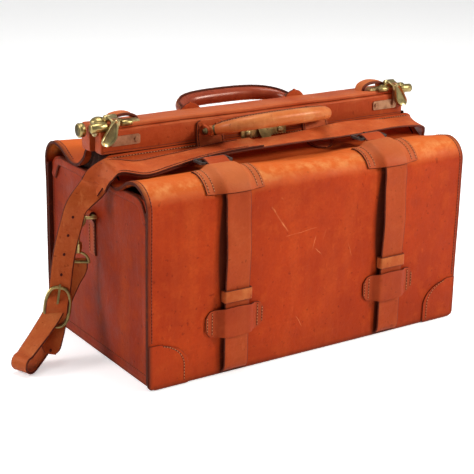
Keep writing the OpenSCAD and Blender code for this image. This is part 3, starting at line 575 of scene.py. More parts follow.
def stitch_row(path, normals, pitch=4.6, length=3.1, radius=0.42, lift=0.15, slant=0.0):
    """Small thread capsules along a path that lies on a surface. Returns (verts, faces, mats)."""
    path, normals = np.asarray(path, float), unit(normals)
    seg = np.linalg.norm(np.diff(path, axis=0), axis=1)
    s = np.concatenate([[0], np.cumsum(seg)])
    count = int(s[-1] // pitch)
    parts = []
    for i in range(count):
        mid = (i + 0.5) * s[-1] / max(count, 1)
        ends = []
        for q in (mid - length / 2, mid + length / 2):
            ends.append(np.array([np.interp(q, s, path[:, k]) for k in range(3)]))
        n = unit(np.array([np.interp(mid, s, normals[:, k]) for k in range(3)]))
        t = unit(ends[1] - ends[0])
        b = np.cross(n, t)
        if slant:
            t2 = unit(t + slant * b)
            c = (ends[0] + ends[1]) / 2
            ends = [c - t2 * length / 2, c + t2 * length / 2]
            t, b = t2, np.cross(n, t2)
        rings = []
        for share, size, rise in ((0.0, 0.45, -0.5), (0.22, 1.0, 0.3), (0.78, 1.0, 0.3), (1.0, 0.45, -0.5)):
            c = ends[0] + (ends[1] - ends[0]) * share + n * (lift + rise * radius)
            ring = [c + radius * size * (math.cos(u) * b + math.sin(u) * n) for u in np.arange(6) * math.pi / 3]
            rings.append(ring)
        parts.append(loft(rings))
    # the pressed groove the stitches sit in
    if count > 1:
        t = tangents(path)
        groove = strip(path + normals * (lift * 0.5), np.cross(normals, t), 1.5, 0.36, 0.0, 3)
        parts.append((groove[0], groove[1], [1] * len(groove[1])))
    return parts


# ---------------------------------------------------------------- the skin over the front and back
OUTLINE = [(-FRONT_Y, 0.0)] + [(-FRONT_Y, z) for z in np.arange(8.0, PANEL_TOP, 7.0)]
OUTLINE += [(-CREST_Y - SHOULDER_R * math.cos(u), PANEL_TOP + SHOULDER_R * math.sin(u))
            for u in np.radians(np.arange(0, 91, 7.5))]
NECK = smooth_path([(-92, 271, 0), (-76, 264.5, 0), (-61, 261, 0), (-45, 263, 0), (-34, 270.5, 0), (-29, 277, 0),
                    (-26.8, 286, 0)], 8)
OUTLINE += [tuple(p[:2]) for p in NECK]
OUTLINE = np.array(OUTLINE)
ARC = np.concatenate([[0], np.cumsum(np.linalg.norm(np.diff(OUTLINE, axis=0), axis=1))])
_fine = np.linspace(0, ARC[-1], 900)
_yz = np.stack([np.interp(_fine, ARC, OUTLINE[:, 0]), np.interp(_fine, ARC, OUTLINE[:, 1])], 1)
for _ in range(6):
    _yz[1:-1] = (_yz[:-2] + 2 * _yz[1:-1] + _yz[2:]) / 4
_tan = unit(np.gradient(_yz, axis=0))
_nrm = np.stack([-_tan[:, 1], _tan[:, 0]], 1)
S_MAX = ARC[-1]
S_SHOULDER = PANEL_TOP
S_CREST = PANEL_TOP + SHOULDER_R * math.pi / 2
S_TROUGH = float(_fine[np.argmin(np.where(_fine > S_CREST, _yz[:, 1], 999))])


def bell(x, mid, wide):
    return np.exp(-((x - mid) / wide) ** 2)


def step(x, a, b):
    t = np.clip((x - a) / (b - a), 0, 1)
    return t * t * (3 - 2 * t)


def skin(x, s, off=0.0, back=False):
    """Point on the leather's outer face at length x and arc length s, off millimetres out, and its normal."""
    x, s = np.broadcast_arrays(np.asarray(x, float), np.asarray(s, float))
    y, z = np.interp(s, _fine, _yz[:, 0]), np.interp(s, _fine, _yz[:, 1])
    ny, nz = np.interp(s, _fine, _nrm[:, 0]), np.interp(s, _fine, _nrm[:, 1])
    k = x / SIDE_X
    seed = 3.7 if back else 0.0
    crest = bell(s, S_CREST + 4, 46)
    trough = bell(s, S_TROUGH, 26)
    sag = -5.0 * (1 - k * k) - 5.0 * step(x, 190, 262) - 1.6 * np.sin(x / 47 + 0.6 + seed)
    wave = 1.1 * np.sin(x / 31 + seed) + 0.8 * np.sin(x / 17 + 1.3 + seed)
    z = z + crest * sag + trough * (-6.0 * np.abs(k) ** 5 + wave)
    low = bell(z, 120, 95)
    y = y - low * (1.8 * (1 - k * k) + 0.7 * np.sin(x / 63 + z / 55 + seed))
    y = y + bell(s, S_SHOULDER + 12, 34) * (1.0 * np.sin(x / 38 + 0.4 + seed) - 0.8)
    y, z = y + off * ny, z + off * nz
    if back:
        y, ny = -y, -ny
    p = np.stack([x, y, z], -1)
    n = np.stack([np.zeros_like(x), np.broadcast_to(ny, x.shape), np.broadcast_to(nz, x.shape)], -1)
    return p, n


def skin_sheet(name, back):
    """One skin from the base over the shoulder, down the trough and up to the frame."""
    vs = np.concatenate([[1.0, 2.0, 3.5, 5.5, 9], np.linspace(14, S_SHOULDER - 6, 46),
                         np.linspace(S_SHOULDER, S_MAX, 74)])
    us = np.linspace(-1, 1, 175)
    u, v = np.meshgrid(us, vs, indexing="ij")
    zc = np.clip(v, 0, 9)
    cut = 9 - np.sqrt(np.maximum(81 - (9 - zc) ** 2, 0))
    top = S_MAX - v
    cut = cut + np.where(top < 8, 8 - np.sqrt(np.maximum(64 - (8 - np.clip(top, 0, 8)) ** 2, 0)), 0)
    half = SIDE_X - cut - 2.0 * step(v, S_TROUGH, S_MAX) + 1.4 * bell(v, S_CREST, 40)
    x = u * half
    p, _ = skin(x, v, 0.0, back)
    verts, faces, fm = sheet(p, LEATHER if not back else -LEATHER, 0.2)
    piece = new_piece(name, verts, faces, [BODY, EDGE], fm)
    return piece


def blend_front(piece):
    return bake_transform(piece)


def blend_rear(piece):
    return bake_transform(piece)


front_skin = skin_sheet("front_skin", False)
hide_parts("front_panel", "front_shelf")
blend_front(front_skin)
back_skin = skin_sheet("back_skin", True)
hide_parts("back_panel", "rear_shelf")
blend_rear(back_skin)


def put(name, parts, mats, body, replaces=(), sharp=50.0):
    """Joins parts into one piece that rides on a body."""
    verts, faces, fm = join_parts(parts)
    piece = new_piece(name, verts, faces, mats, fm, sharp)
    if body == "front_blend":
        blend_front(piece)
    elif body == "rear_blend":
        blend_rear(piece)
    elif body == "carry_blend":
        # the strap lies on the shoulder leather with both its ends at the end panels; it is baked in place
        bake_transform(piece)
    elif body == "right_ring_blend":
        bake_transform(piece)
    elif body == "left_ring_blend":
        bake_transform(piece)
    else:
        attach(piece, body)
    if replaces:
        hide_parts(*replaces)
    return piece


# stitching along both side edges of each skin, and the row under the frame
for back in (False, True):
    rows, neck_rows = [], []
    for side in (-1, 1):
        s = np.linspace(66, S_TROUGH - 10, 90)
        p, n = skin(np.full_like(s, side * (SIDE_X - 5.5)), s, 0.0, back)
        rows += stitch_row(p, n, 4.4, 2.6, 0.55)
    x = np.linspace(-SIDE_X + 8, SIDE_X - 8, 120)
    p, n = skin(x, np.full_like(x, S_MAX - 3.5), 0.0, back)
    neck_rows += stitch_row(p, n, 4.4, 2.7, 0.55)
    where = "rear_blend" if back else "front_blend"
    tag = "back" if back else "front"
    put(tag + "_edge_stitches", rows, [RED_THREAD, GROOVE], where)
    put(tag + "_neck_stitches", neck_rows, [PALE_THREAD, GROOVE], where)

# ---------------------------------------------------------------- end panels, rims, patches


def end_face(y, z, side):
    """x of an end panel's outer face, with the slack of old leather in it."""
    slack = (1.6 * np.sin(y / 38 + 0.8) * np.sin(z / 75 + 0.3) + 1.2 * np.sin(y / 21 - z / 33)
             + 2.2 * bell(y, -70, 45) * bell(z, 190, 60) - 1.8 * bell(y, 20, 50) * bell(z, 120, 70))
    return side * (END_X + slack * step(z, 10, 60) * step(252 - z, 2, 26) * step(138 - np.abs(y), 0, 30))


for side, tag in ((-1, "left"), (1, "right")):
    zs = np.concatenate([[6, 7.5, 10], np.linspace(16, 224, 44), np.linspace(228, 252, 10)])
    us = np.linspace(-1, 1, 60)
    u, z = np.meshgrid(us, zs, indexing="ij")
    over = np.clip(z - 224, 0, 28)
    half = 140 - (28 - np.sqrt(np.maximum(784 - over ** 2, 0)))
    y = u * half
    grid = np.stack([end_face(y, z, side), y, z], -1)
    verts, faces, fm = sheet(grid, LEATHER * (1 if side > 0 else -1), 0.1)
    piece = new_piece(tag + "_end_skin", verts, faces, [PANEL_END, EDGE_RED], fm)
    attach(piece, "bag")
    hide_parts(tag + "_end_panel")
    rows = []
    for zz in (14.0,):
        y = np.linspace(-132, 132, 90)
        p = np.stack([end_face(y, np.full_like(y, zz), side), y, np.full_like(y, zz)], -1)
        rows += stitch_row(p, np.broadcast_to([side, 0, 0], p.shape), 4.6, 2.6, 0.55)
    for yy in (-133.0, 133.0):
        z = np.linspace(18, 232, 80)
        p = np.stack([end_face(np.full_like(z, yy), z, side), np.full_like(z, yy), z], -1)
        rows += stitch_row(p, np.broadcast_to([side, 0, 0], p.shape), 4.6, 2.4, 0.55)
    put(tag + "_end_stitches", rows, [RED_THREAD, GROOVE], "bag")

# folded rim along the top of each end, as a soft roll
parts = []
for side in (-1, 1):
    ys = np.linspace(-1, 1, 61)
    path, up = [], []
    for u in ys:
        y = u * 128
        drop = max(abs(y) - 104, 0)
        z = 246.5 - (24 - math.sqrt(max(576 - drop ** 2, 0)))
        path.append((side * (END_X + 1.2), y, z))
    path = smooth_path(path[::3], 3)
    parts.append(strip(path, (0, 0.0, 1.0), 12.0, 3.4, 0.5, 5))
put("end_rim_rolls", parts, [PANEL_END, EDGE_RED], "bag", ("end_rims",))


def patch_grid(back, x_edge, side):
    """Quarter-round corner patch laid over the skin."""
    length, height, r = 58.0, 61.0, 34.0
    us, vs = np.linspace(0, 1, 22), np.linspace(0, 1, 24)
    u, v = np.meshgrid(us, vs, indexing="ij")
    z = 1.0 + v * height
    reach = length - np.where(z > height - r, r - np.sqrt(np.maximum(r * r - (z - (height - r)) ** 2, 0)), 0) * 1.5
    reach = np.maximum(reach, 16)
    lowcut = 8 - np.sqrt(np.maximum(64 - (8 - np.clip(z - 1, 0, 8)) ** 2, 0))
    x = side * (SIDE_X - 1.0 - lowcut - u * (reach - lowcut))
    p, _ = skin(x, z, 1.9, back)
    return p, reach


parts, rows = [], []
for back in (False, True):
    for side in (-1, 1):
        grid, _ = patch_grid(back, SIDE_X, side)
        flip = 1 if (side < 0) != back else -1
        parts.append(sheet(grid, 1.9 * flip, 0.3))
        edge = grid[-1, 2:-1]
        inner = grid[-3, 2:-1] * 0.75 + grid[-4, 2:-1] * 0.25
        ny = 1.0 if back else -1.0
        rows += stitch_row(inner, np.broadcast_to([0, ny, 0], inner.shape), 4.2, 2.5, 0.55)
put("corner_patch_set", parts, [BODY, EDGE_RED], "bag", ("corner_patches",))
put("corner_patch_stitches", rows, [PALE_THREAD, GROOVE], "bag")

# ---------------------------------------------------------------- wrap-round straps
STRAP_W = 38.0
STRAP_T = 3.0
GAP = 4.8


def strap_path(cx):
    """Centre line of one wrap-round strap, front end to back end."""
    front = []
    s_top = S_CREST + 8
    for s in np.linspace(s_top, 16, 70):
        stand = 2.6 + (GAP - 2.6) * step(S_CREST - s, 4, 50)
        p, _ = skin(cx, s, stand + STRAP_T / 2)
        front.append([cx, p[1], p[2]])
    front = np.array(front)
    y0 = -FRONT_Y - GAP - STRAP_T / 2
    inside = front[:, 2] < 222
    front[inside, 1] = y0 - 3.5 * bell(front[inside, 2], 170, 42)
    turn = [(y0, 9.0), (y0 + 1.6, 4.2), (y0 + 6.0, 2.2)]
    low = [[cx, y, z] for y, z in turn] + [[cx, y, 2.0] for y in np.linspace(y0 + 16, -4, 12)]
    half = np.vstack([front, low])
    for _ in range(3):
        half[1:-1] = (half[:-2] + 2 * half[1:-1] + half[2:]) / 4
    mirror = half[::-1].copy()
    mirror[:, 1] *= -1
    return np.vstack([half, mirror])


for cx, tag in ((-STRAP_X, "left"), (STRAP_X, "right")):
    path = strap_path(cx)
    part = strip(path, (1, 0, 0), STRAP_W, STRAP_T, 0.35)
    put(tag + "_wrap_strap", [part], [STRAP, EDGE_RED], "bag", (tag + "_strap",))


def upper_keeper(cx, back):
    """Stitched patch over the shoulder, raised where the strap runs under it."""
    half_w = 43.5
    us = np.concatenate([np.linspace(-1, -0.60, 7), np.linspace(-0.54, -0.42, 7), np.linspace(-0.36, 0.36, 13),
                         np.linspace(0.42, 0.54, 7), np.linspace(0.60, 1, 7)])
    vs = np.linspace(0, 1, 34)
    u, v = np.meshgrid(us, vs, indexing="ij")
    x = cx + u * half_w
    belly = 2.5 * (1 - u * u)
    s0 = 252 - belly
    s1 = S_CREST + 4 + belly
    s = s0 + (s1 - s0) * v
    lift = 5.8 + (GAP - 2.6) * step(S_CREST - s, 4, 50)
    rise = 2.2 + lift * step(0.72 - np.abs(u), 0.0, 0.34)
    base, _ = skin(cx + 0 * x, s, 0.0, back)
    p, _ = skin(x, s, rise, back)
    return p, s0, s1


rows = {False: [], True: []}
for back in (False, True):
    parts = []
    for cx in (-STRAP_X, STRAP_X):
        grid, s0, s1 = upper_keeper(cx, back)
        parts.append(sheet(grid, 2.1 if not back else -2.1, 0.25))
        for u in (-0.93, -0.74, 0.74, 0.93):
            s = np.linspace(254, S_CREST + 2, 40)
            x = np.full_like(s, cx + u * 43.5)
            p, n = skin(x, s, 2.2, back)
            rows[back] += stitch_row(p, n, 4.0, 2.7, 0.55)
    tag = "back" if back else "front"
    put(tag + "_shoulder_keepers", parts, [KEEPER, EDGE], "bag", (tag + "_upper_keepers",))
    put(tag + "_keeper_stitches", rows[back], [PALE_THREAD, GROOVE], "bag")


def lower_keeper(cx, back):
    """Wide patch with clipped ends: narrower at the stitched ends, bellied over the strap."""
    us = np.concatenate([np.linspace(-1, -0.62, 8), np.linspace(-0.56, -0.44, 7), np.linspace(-0.38, 0.38, 13),
                         np.linspace(0.44, 0.56, 7), np.linspace(0.62, 1, 8)])
    vs = np.linspace(0, 1, 16)
    u, v = np.meshgrid(us, vs, indexing="ij")
    x = cx + u * 45.0
    a = np.abs(u)
    top = 96.0 - 5.0 * a ** 2 - 7.0 * np.maximum(a - 0.86, 0) / 0.14
    low = 54.0 + 5.0 * a ** 2 + 7.0 * np.maximum(a - 0.86, 0) / 0.14
    z = low + (top - low) * v
    rise = 2.1 + (GAP + 3.1) * step(0.74 - a, 0.0, 0.34)
    y = FRONT_Y + rise
    p = np.stack([x, y if back else -y, z], -1)
    skin_y = skin(x, z, 0.0, back)[0][..., 1]
    want = np.abs(skin_y) + rise
    p[..., 1] = np.where(back, 1, -1) * np.maximum(want, y)
    return p


parts, rows = [], []
for back in (False, True):
    sign = 1.0 if back else -1.0
    for cx in (-STRAP_X, STRAP_X):
        grid = lower_keeper(cx, back)
        parts.append(sheet(grid, 2.0 * (1 if not back else -1), 0.25))
        for u in (-0.92, -0.76, 0.76, 0.92):
            i = int(np.argmin(np.abs(np.concatenate([np.linspace(-1, -0.62, 8), np.linspace(-0.56, -0.44, 7),
                                                     np.linspace(-0.38, 0.38, 13), np.linspace(0.44, 0.56, 7),
                                                     np.linspace(0.62, 1, 8)]) - u)))
            line = grid[i, 1:-1]
            rows += stitch_row(line, np.broadcast_to([0, sign, 0], line.shape), 3.9, 2.6, 0.55)
put("lower_keeper_set", parts, [KEEPER, EDGE], "bag", ("lower_keepers",))
put("lower_keeper_stitches", rows, [PALE_THREAD, GROOVE], "bag")


def band_loop(center, half_w, half_d, z0, z1, thick, r=1.6, bulge=0.4):
    """A leather band round a strap, standing along z, as a closed sweep."""
    cx, cy = center
    outline = []
    for sx, sy, a0 in ((1, -1, -90), (1, 1, 0), (-1, 1, 90), (-1, -1, 180)):
        for a in np.radians(np.linspace(a0, a0 + 90, 6)):
            outline.append((cx + sx * (half_w - r) + r * math.cos(a), cy + sy * (half_d - r) + r * math.sin(a)))
    outline = np.array(outline)
    rings = []
    t = unit(np.roll(outline, -1, 0) - np.roll(outline, 1, 0))
    nrm = np.stack([t[:, 1], -t[:, 0]], 1)
    sec, edge = flat_section((z1 - z0) / 2, thick / 2, bulge, 7, 3)
    zc = (z0 + z1) / 2
    for q in range(len(outline)):
        off = sec[:, 1:] * nrm[q]
        rings.append(np.column_stack([outline[q, 0] + off[:, 0], outline[q, 1] + off[:, 1], zc + sec[:, 0]]))
    return loft(rings, closed=True, mats=edge)


for cx, tag in ((-STRAP_X, "left"), (STRAP_X, "right")):
    lo, hi = corners(tag + "_slider_loop")
    y_out = -FRONT_Y - GAP - STRAP_T - 2.6
    y_in = -FRONT_Y - 1.6
    part = band_loop((cx, (y_out + y_in) / 2), (hi[0] - lo[0]) / 2 - 1, (y_in - y_out) / 2, lo[2], hi[2], 1.9)
    put(tag + "_sliding_loop", [part], [LOOP, EDGE_RED], tag + "_slider", (tag + "_slider_loop",))

# the free end of each strap, folded back through its buckle behind the keeper
for cx, tag in ((-STRAP_X, "left"), (STRAP_X, "right")):
    y, z = -88.0, 0.0
    lo, hi = corners(tag + "_strap_buckle")
    zc = (lo[2] + hi[2]) / 2
    path = smooth_path([(cx, -104, zc - 1.0), (cx, -96, zc + 2.4), (cx, -88, zc + 3.4), (cx, -78, zc - 2.5),
                        (cx, -70, zc - 7.0), (cx, -63, zc - 9.5)], 6)
    wid = np.interp(np.linspace(0, 1, len(path)), [0, 0.72, 0.9, 1.0], [34, 34, 26, 14])
    part = strip(path, (1, 0, 0), wid, 2.4, 0.3)
    put(tag + "_strap_tip", [part], [STRAP, EDGE_RED], "front_blend")

# ---------------------------------------------------------------- mouth frame


def round_outline(y0, z0, y1, z1, r, n=5):
    pts = []
    for cy, cz, a0 in ((y1 - r, z0 + r, -90), (y1 - r, z1 - r, 0), (y0 + r, z1 - r, 90), (y0 + r, z0 + r, 180)):
        for a in np.radians(np.linspace(a0, a0 + 90, n)):
            pts.append((cy + r * math.cos(a), cz + r * math.sin(a)))
    return np.array(pts)


def rise_of(x):
    """The old frame has warped a little: higher at the left end, lower right of the middle."""
    return -0.003 * x - 0.4 * math.exp(-((x - 60) / 90) ** 2)


def soft_bar(x0, x1, outline, rounding, count=70, wobble=0.25):
    mid = (outline.max(0) + outline.min(0)) / 2
    size = (outline.max(0) - outline.min(0)) / 2
    # from each tip inwards: inset along x, inset of the outline
    ends = [(rounding * (1 - math.cos(a)), rounding * (1 - math.sin(a))) for a in np.radians([0, 30, 60])]
    ring = [(x0 + dx, inset) for dx, inset in ends]
    ring += [(x, 0.0) for x in np.linspace(x0 + rounding, x1 - rounding, count)]
    ring += [(x1 - dx, inset) for dx, inset in ends[::-1]]
    rings = []
    for x, inset in ring:
        k = 1 - inset / size
        q = mid + (outline - mid) * k
        q[:, 1] += rise_of(x) + wobble * (math.sin(x / 29.0) + 0.5 * math.sin(x / 11.0 + 1.0))
        rings.append(np.column_stack([np.full(len(outline), x), q]))
    return loft(rings)


BAR_LOW = FBAR_LO[2] - 3.0
front_outline = round_outline(FBAR_LO[1], BAR_LOW, FBAR_HI[1], FBAR_HI[2] + 1.5, 3.0)
put("front_bar", [soft_bar(FBAR_LO[0], FBAR_HI[0], front_outline, 3.0)], [FRAME], "front_frame",
    ("front_frame_cover",))
LIP_Z0 = RBAR_HI[2] - 6.0
LIP_Y = RBAR_LO[1]
REAR_BACK_Z = RBAR_HI[2] - 3.0
rear_outline = []
for cy, cz, r, a0, a1, n in ((RBAR_HI[1] - 3, BAR_LOW + 3, 3, -90, 0, 5), (RBAR_HI[1] - 3.5, REAR_BACK_Z - 3.5, 3.5, 0, 80, 6),
                             (LIP_Y + 2.6, RBAR_HI[2] - 2.6, 2.6, 90, 180, 6), (LIP_Y + 1.6, LIP_Z0 + 1.6, 1.6, 180, 270, 4),
                             (-1.0, LIP_Z0 - 1.0, 1.0, 90, 0, 3), (2.2, BAR_LOW + 2.2, 2.2, 180, 270, 4)):
    for a in np.radians(np.linspace(a0, a1, n)):
        rear_outline.append((cy + r * math.cos(a), cz + r * math.sin(a)))
rear_outline = np.array(rear_outline)
put("rear_bar", [soft_bar(RBAR_LO[0] - 4, RBAR_HI[0], rear_outline, 2.4)], [FRAME], "rear_frame",
    ("rear_frame_cover",))

# crease lines pressed along the bars, as raised beads of the folded leather
bead = []
for z in (BAR_LOW + 2.4,):
    x = np.linspace(FBAR_LO[0] + 4, FBAR_HI[0] - 4, 80)
    path = np.stack([x, np.full_like(x, FBAR_LO[1] - 0.2), z + 0.3 * np.sin(x / 23) + np.array([rise_of(v) for v in x])], -1)
    bead.append(strip(path, (0, 0, 1), 3.4, 1.6, 0.2, 5))
put("front_bar_fold", bead, [FRAME, EDGE_RED], "front_frame")

# pleated gussets: dark leather folds under each end of the frame, a half on each frame half
for side, tag in ((-1, "left"), (1, "right")):
    x_mid = side * (END_X - 4.5)
    for back in (False, True):
        sign = 1 if back else -1
        us = np.linspace(0, 1, 33)
        vs = np.linspace(0, 1, 14)
        u, v = np.meshgrid(us, vs, indexing="ij")
        y_low = 0.6 + 48 * u
        y_top = 0.6 + 22 * u
        share = step(v, 0.0, 1.0)
        y = y_low + (y_top - y_low) * share
        z = 248 + v * 40 + 5 * u * (1 - v)
        pleat = 5.5 * np.abs(((u * 2.5 + 0.25) % 1.0) - 0.5) * 2 * (0.4 + 0.6 * v)
        x = x_mid - side * pleat
        grid = np.stack([x, sign * y, z], -1)
        part = sheet(grid, 1.4, 0.1)
        verts, faces, fm = part
        piece = new_piece(f"{tag}_gusset_{'rear' if back else 'front'}", verts, faces, [DARK, EDGE], fm)
        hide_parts(tag + "_gusset")
        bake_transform(piece)

# ---------------------------------------------------------------- handles


def handle(name, node, body, hinge_y, hinge_z, flop, sign, mat, seam_turn):
    """Rolled grip on a curved centre line, thin at its ends, with a stitched seam ridge."""
    rise = 51.0
    line = [(-88, 0), (-87, 9), (-83, 22), (-73, 35), (-56, 45), (-30, 50), (0, rise), (30, 50), (56, 45), (73, 35),
            (83, 22), (87, 9), (88, 0)]
    rad = [6.6, 7.0, 8.0, 9.0, 9.6, 10.0, 10.1, 10.0, 9.6, 9.0, 8.0, 7.0, 6.6]
    path = smooth_path([(x, 0, v) for x, v in line], 7, rad)
    rad = path[:, 3]
    path = path[:, :3]
    t = tangents(path)
    side = np.array([0.0, -1.0, 0.0])
    out = unit(np.cross(side, t))
    rings = []
    n = 20
    for i in range(len(path)):
        flat = 1.0 - 0.25 * step(abs(path[i, 0]), 70, 86)
        a = np.arange(n) * 2 * math.pi / n
        rings.append(path[i] + rad[i] * (np.cos(a)[:, None] * out[i] * flat + np.sin(a)[:, None] * side))
    grip = loft(rings)
    # seam ridge and stitches
    ang = math.radians(seam_turn)
    direction = unit(math.cos(ang) * out + math.sin(ang) * side)
    ridge_path = path + direction * (rad[:, None] + 0.9)
    keep = slice(5, len(path) - 5)
    across = np.cross(t, direction)
    ridge = strip(ridge_path[keep], across[keep], 2.6, 3.2, 0.2, 5)
    spread = math.radians(seam_turn + 24)
    stitch_dir = unit(math.cos(spread) * out + math.sin(spread) * side)
    rows = stitch_row((path + stitch_dir * (rad[:, None]))[keep], stitch_dir[keep], 4.0, 2.6, 0.55)

    def place(part):
        verts = np.asarray(part[0], float)
        c, s = math.cos(math.radians(flop)), math.sin(math.radians(flop))
        y, z = verts[:, 1] * c - verts[:, 2] * s, verts[:, 1] * s + verts[:, 2] * c
        y, z = y - hinge_y, z + hinge_z
        if sign > 0:
            y = -y
        return np.column_stack([verts[:, 0] + FRAME_X, y, z]), part[1], part[2]

    eyes = []
    for s in (-1, 1):
        xs = np.array([-8.2, -7.6, -4, 4, 7.6, 8.2])
        rr = np.array([5.2, 6.6, 7.0, 7.0, 6.6, 5.2])
        a = np.arange(18) * math.pi / 9
        outer = [np.column_stack([np.full(18, s * 88 + x), r * np.cos(a), r * np.sin(a)]) for x, r in zip(xs, rr)]
        innr = [np.column_stack([np.full(18, s * 88 + x), 3.2 * np.cos(a), 3.2 * np.sin(a)]) for x in xs[::-1]]
        eyes.append(loft(outer + innr, closed=True))
    grip_parts = [place(grip)] + [place(e) for e in eyes]
    put(name, grip_parts, [mat], body, (node,))
    put(name + "_seam", [place(ridge)], [EDGE_RED, EDGE], body)
    put(name + "_stitches", [place(r) for r in rows], [PALE_THREAD, GROOVE], body)


F_HINGE = [j for j in frame["joints"] if j["name"] == "front_handle"][0]["pos_m"]
R_HINGE = [j for j in frame["joints"] if j["name"] == "rear_handle"][0]["pos_m"]
handle("front_grip", "front_handle", "front_handle", -F_HINGE[1] / MM, F_HINGE[2] / MM, 70, -1, GRIP_FRONT, -115)
handle("rear_grip", "rear_handle", "rear_handle", R_HINGE[1] / MM, R_HINGE[2] / MM, 85, 1, GRIP_REAR, -75)


# ---------------------------------------------------------------- handle chapes
def chape_strip(cx, back):
    """Leather tab from the top of the bar, down its face and over the neck to a round stitched end."""
    sign = 1 if back else -1
    top = (RBAR_HI[2] + 4.5) if back else (FBAR_HI[2] - 1.0)
    face = (RBAR_HI[1] if back else -FBAR_LO[1]) + 1.4
    pts = [(cx, face, top), (cx, face, top - 8), (cx, face, FRAME_Z + 10), (cx, face + 1.0, FRAME_Z + 4)]
    for s in np.linspace(S_MAX - 10, S_TROUGH + 2, 8):
        p, _ = skin(cx, s, 1.6)
        pts.append((cx, -p[1], p[2]))
    path = smooth_path(pts, 5)
    s = np.concatenate([[0], np.cumsum(np.linalg.norm(np.diff(path, axis=0), axis=1))])
    total = s[-1]
    half = np.interp(s, [0, 8, 26, total], [20.5, 21.5, 22.5, 22.5])
    r = 22.5
    left = total - s
    half = np.where(left < r, np.sqrt(np.maximum(r * r - (r - left) ** 2, 0)) * half / r, half)
    half = np.where(s < 5, np.minimum(half, 16.5 + np.sqrt(np.maximum(25 - (5 - s) ** 2, 0))), half)
    if back:
        half = np.minimum(half, np.where(s < 19, np.sqrt(np.maximum(361 - (19 - s) ** 2, 0)), 99))
    half = np.maximum(half, 2.0)
    path[:, 1] *= sign
    return path, half


for back in (False, True):
    parts, rows = [], []
    for s in (-1, 1):
        cx = FRAME_X + s * 88
        path, half = chape_strip(cx, back)
        parts.append(strip(path, (1, 0, 0), 2 * half, 2.6, 0.25, 11))
        t = tangents(path)
        up = unit(np.cross(np.broadcast_to([1.0, 0, 0], t.shape), t))
        if (up[0, 1] > 0) != back:
            up = -up
        inset = np.maximum(half - 3.4, 0.5)
        for sgn in (-1, 1):
            line = path + up * 1.35 + np.outer(sgn * inset, [1.0, 0, 0])
            keep = slice(2, len(path) - 3)
            rows += stitch_row(line[keep], up[keep], 4.2, 2.6, 0.55)
        hz = (R_HINGE if back else F_HINGE)[2] / MM
        hy = abs((R_HINGE if back else F_HINGE)[1]) / MM
        sign = 1 if back else -1
        for x0 in (cx - 12.9, cx + 8.6):
            # ear: a rounded leather lug from the face to the pin
            prof = []
            for a in np.radians(np.linspace(-90, 90, 9)):
                prof.append((hy + 6.0 * math.cos(a), hz + 6.0 * math.sin(a)))
            face = (RBAR_HI[1] if back else -FBAR_LO[1]) + 1.0
            prof += [(face, hz + 7.5), (face, hz - 7.5)]
            prof = np.array(prof)
            rings = []
            for x, k in ((x0, 0.9), (x0 + 0.6, 1.0), (x0 + 3.7, 1.0), (x0 + 4.3, 0.9)):
                mid = prof.mean(0)
                q = mid + (prof - mid) * k
                rings.append(np.column_stack([np.full(len(q), x), sign * q[:, 0], q[:, 1]]))
            parts.append(loft(rings))
    tag = "rear" if back else "front"
    verts, faces, fm = join_parts(parts)
    fm = [0 if m == 0 else 1 for m in fm]
    piece = new_piece(tag + "_handle_tabs", verts, faces, [TAB, EDGE_RED], fm)
    (blend_rear if back else blend_front)(piece)
    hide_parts(tag + "_handle_chapes")
    put(tag + "_tab_stitches", rows, [RED_THREAD, GROOVE], "rear_blend" if back else "front_blend")


# brass band of the lock under the front bar, with its two buttons and keyhole boss
lock_lo, lock_hi = corners("lock_plate")
lock_x = (lock_lo[0] + lock_hi[0]) / 2
band = strip([(x, FBAR_LO[1] - 2.6, FRAME_Z + 0.5) for x in np.linspace(lock_x - 37, lock_x + 37, 30)], (0, 0, 1), 13.0, 2.6, 0.3, 7)
buttons = [tube((x, FBAR_LO[1] - 3.0, FRAME_Z + 0.5), (x, FBAR_LO[1] - 6.2, FRAME_Z + 0.5), r, cap=1.0)
           for x, r in ((lock_x - 27, 4.4), (lock_x + 27, 4.4), (lock_x, 5.4))]
put("lock_band", [band], [BRASS, BRASS], "front_frame")
put("lock_buttons", buttons, [BRASS_BRIGHT], "front_frame")
put("lock_keyhole", [tube((lock_x, FBAR_LO[1] - 6.0, FRAME_Z + 0.5), (lock_x, FBAR_LO[1] - 6.6, FRAME_Z + 0.5), 2.0, cap=0.2)],
    [EDGE], "front_frame")


# brass ball studs on the pin ends
def ball(center, r, flat=1.0, axis=0, n=18, m=9):
    rings = []
    center = np.asarray(center, float)
    for th in np.linspace(0.06, math.pi - 0.06, m):
        a = np.arange(n) * 2 * math.pi / n
        ring = np.zeros((n, 3))
        ring[:, axis] = -r * flat * math.cos(th)
        ring[:, (axis + 1) % 3] = r * math.sin(th) * np.cos(a)
        ring[:, (axis + 2) % 3] = r * math.sin(th) * np.sin(a)
        rings.append(center + ring)
    return loft(rings)


for back in (False, True):
    h = R_HINGE if back else F_HINGE
    parts = []
    for s in (-1, 1):
        y = h[1] / MM
        parts.append(ball((FRAME_X + s * 88, y + math.copysign(3.0, y), h[2] / MM + 1), 7.5, 0.85, 1))
        for k in (-1, 1):
            parts.append(ball((FRAME_X + s * 88 + k * 15.0, y, h[2] / MM), 4.2, 0.72))
    put(("rear" if back else "front") + "_ball_studs", parts, [BRASS_DARK], "rear_frame" if back else "front_frame")

# ---------------------------------------------------------------- catches


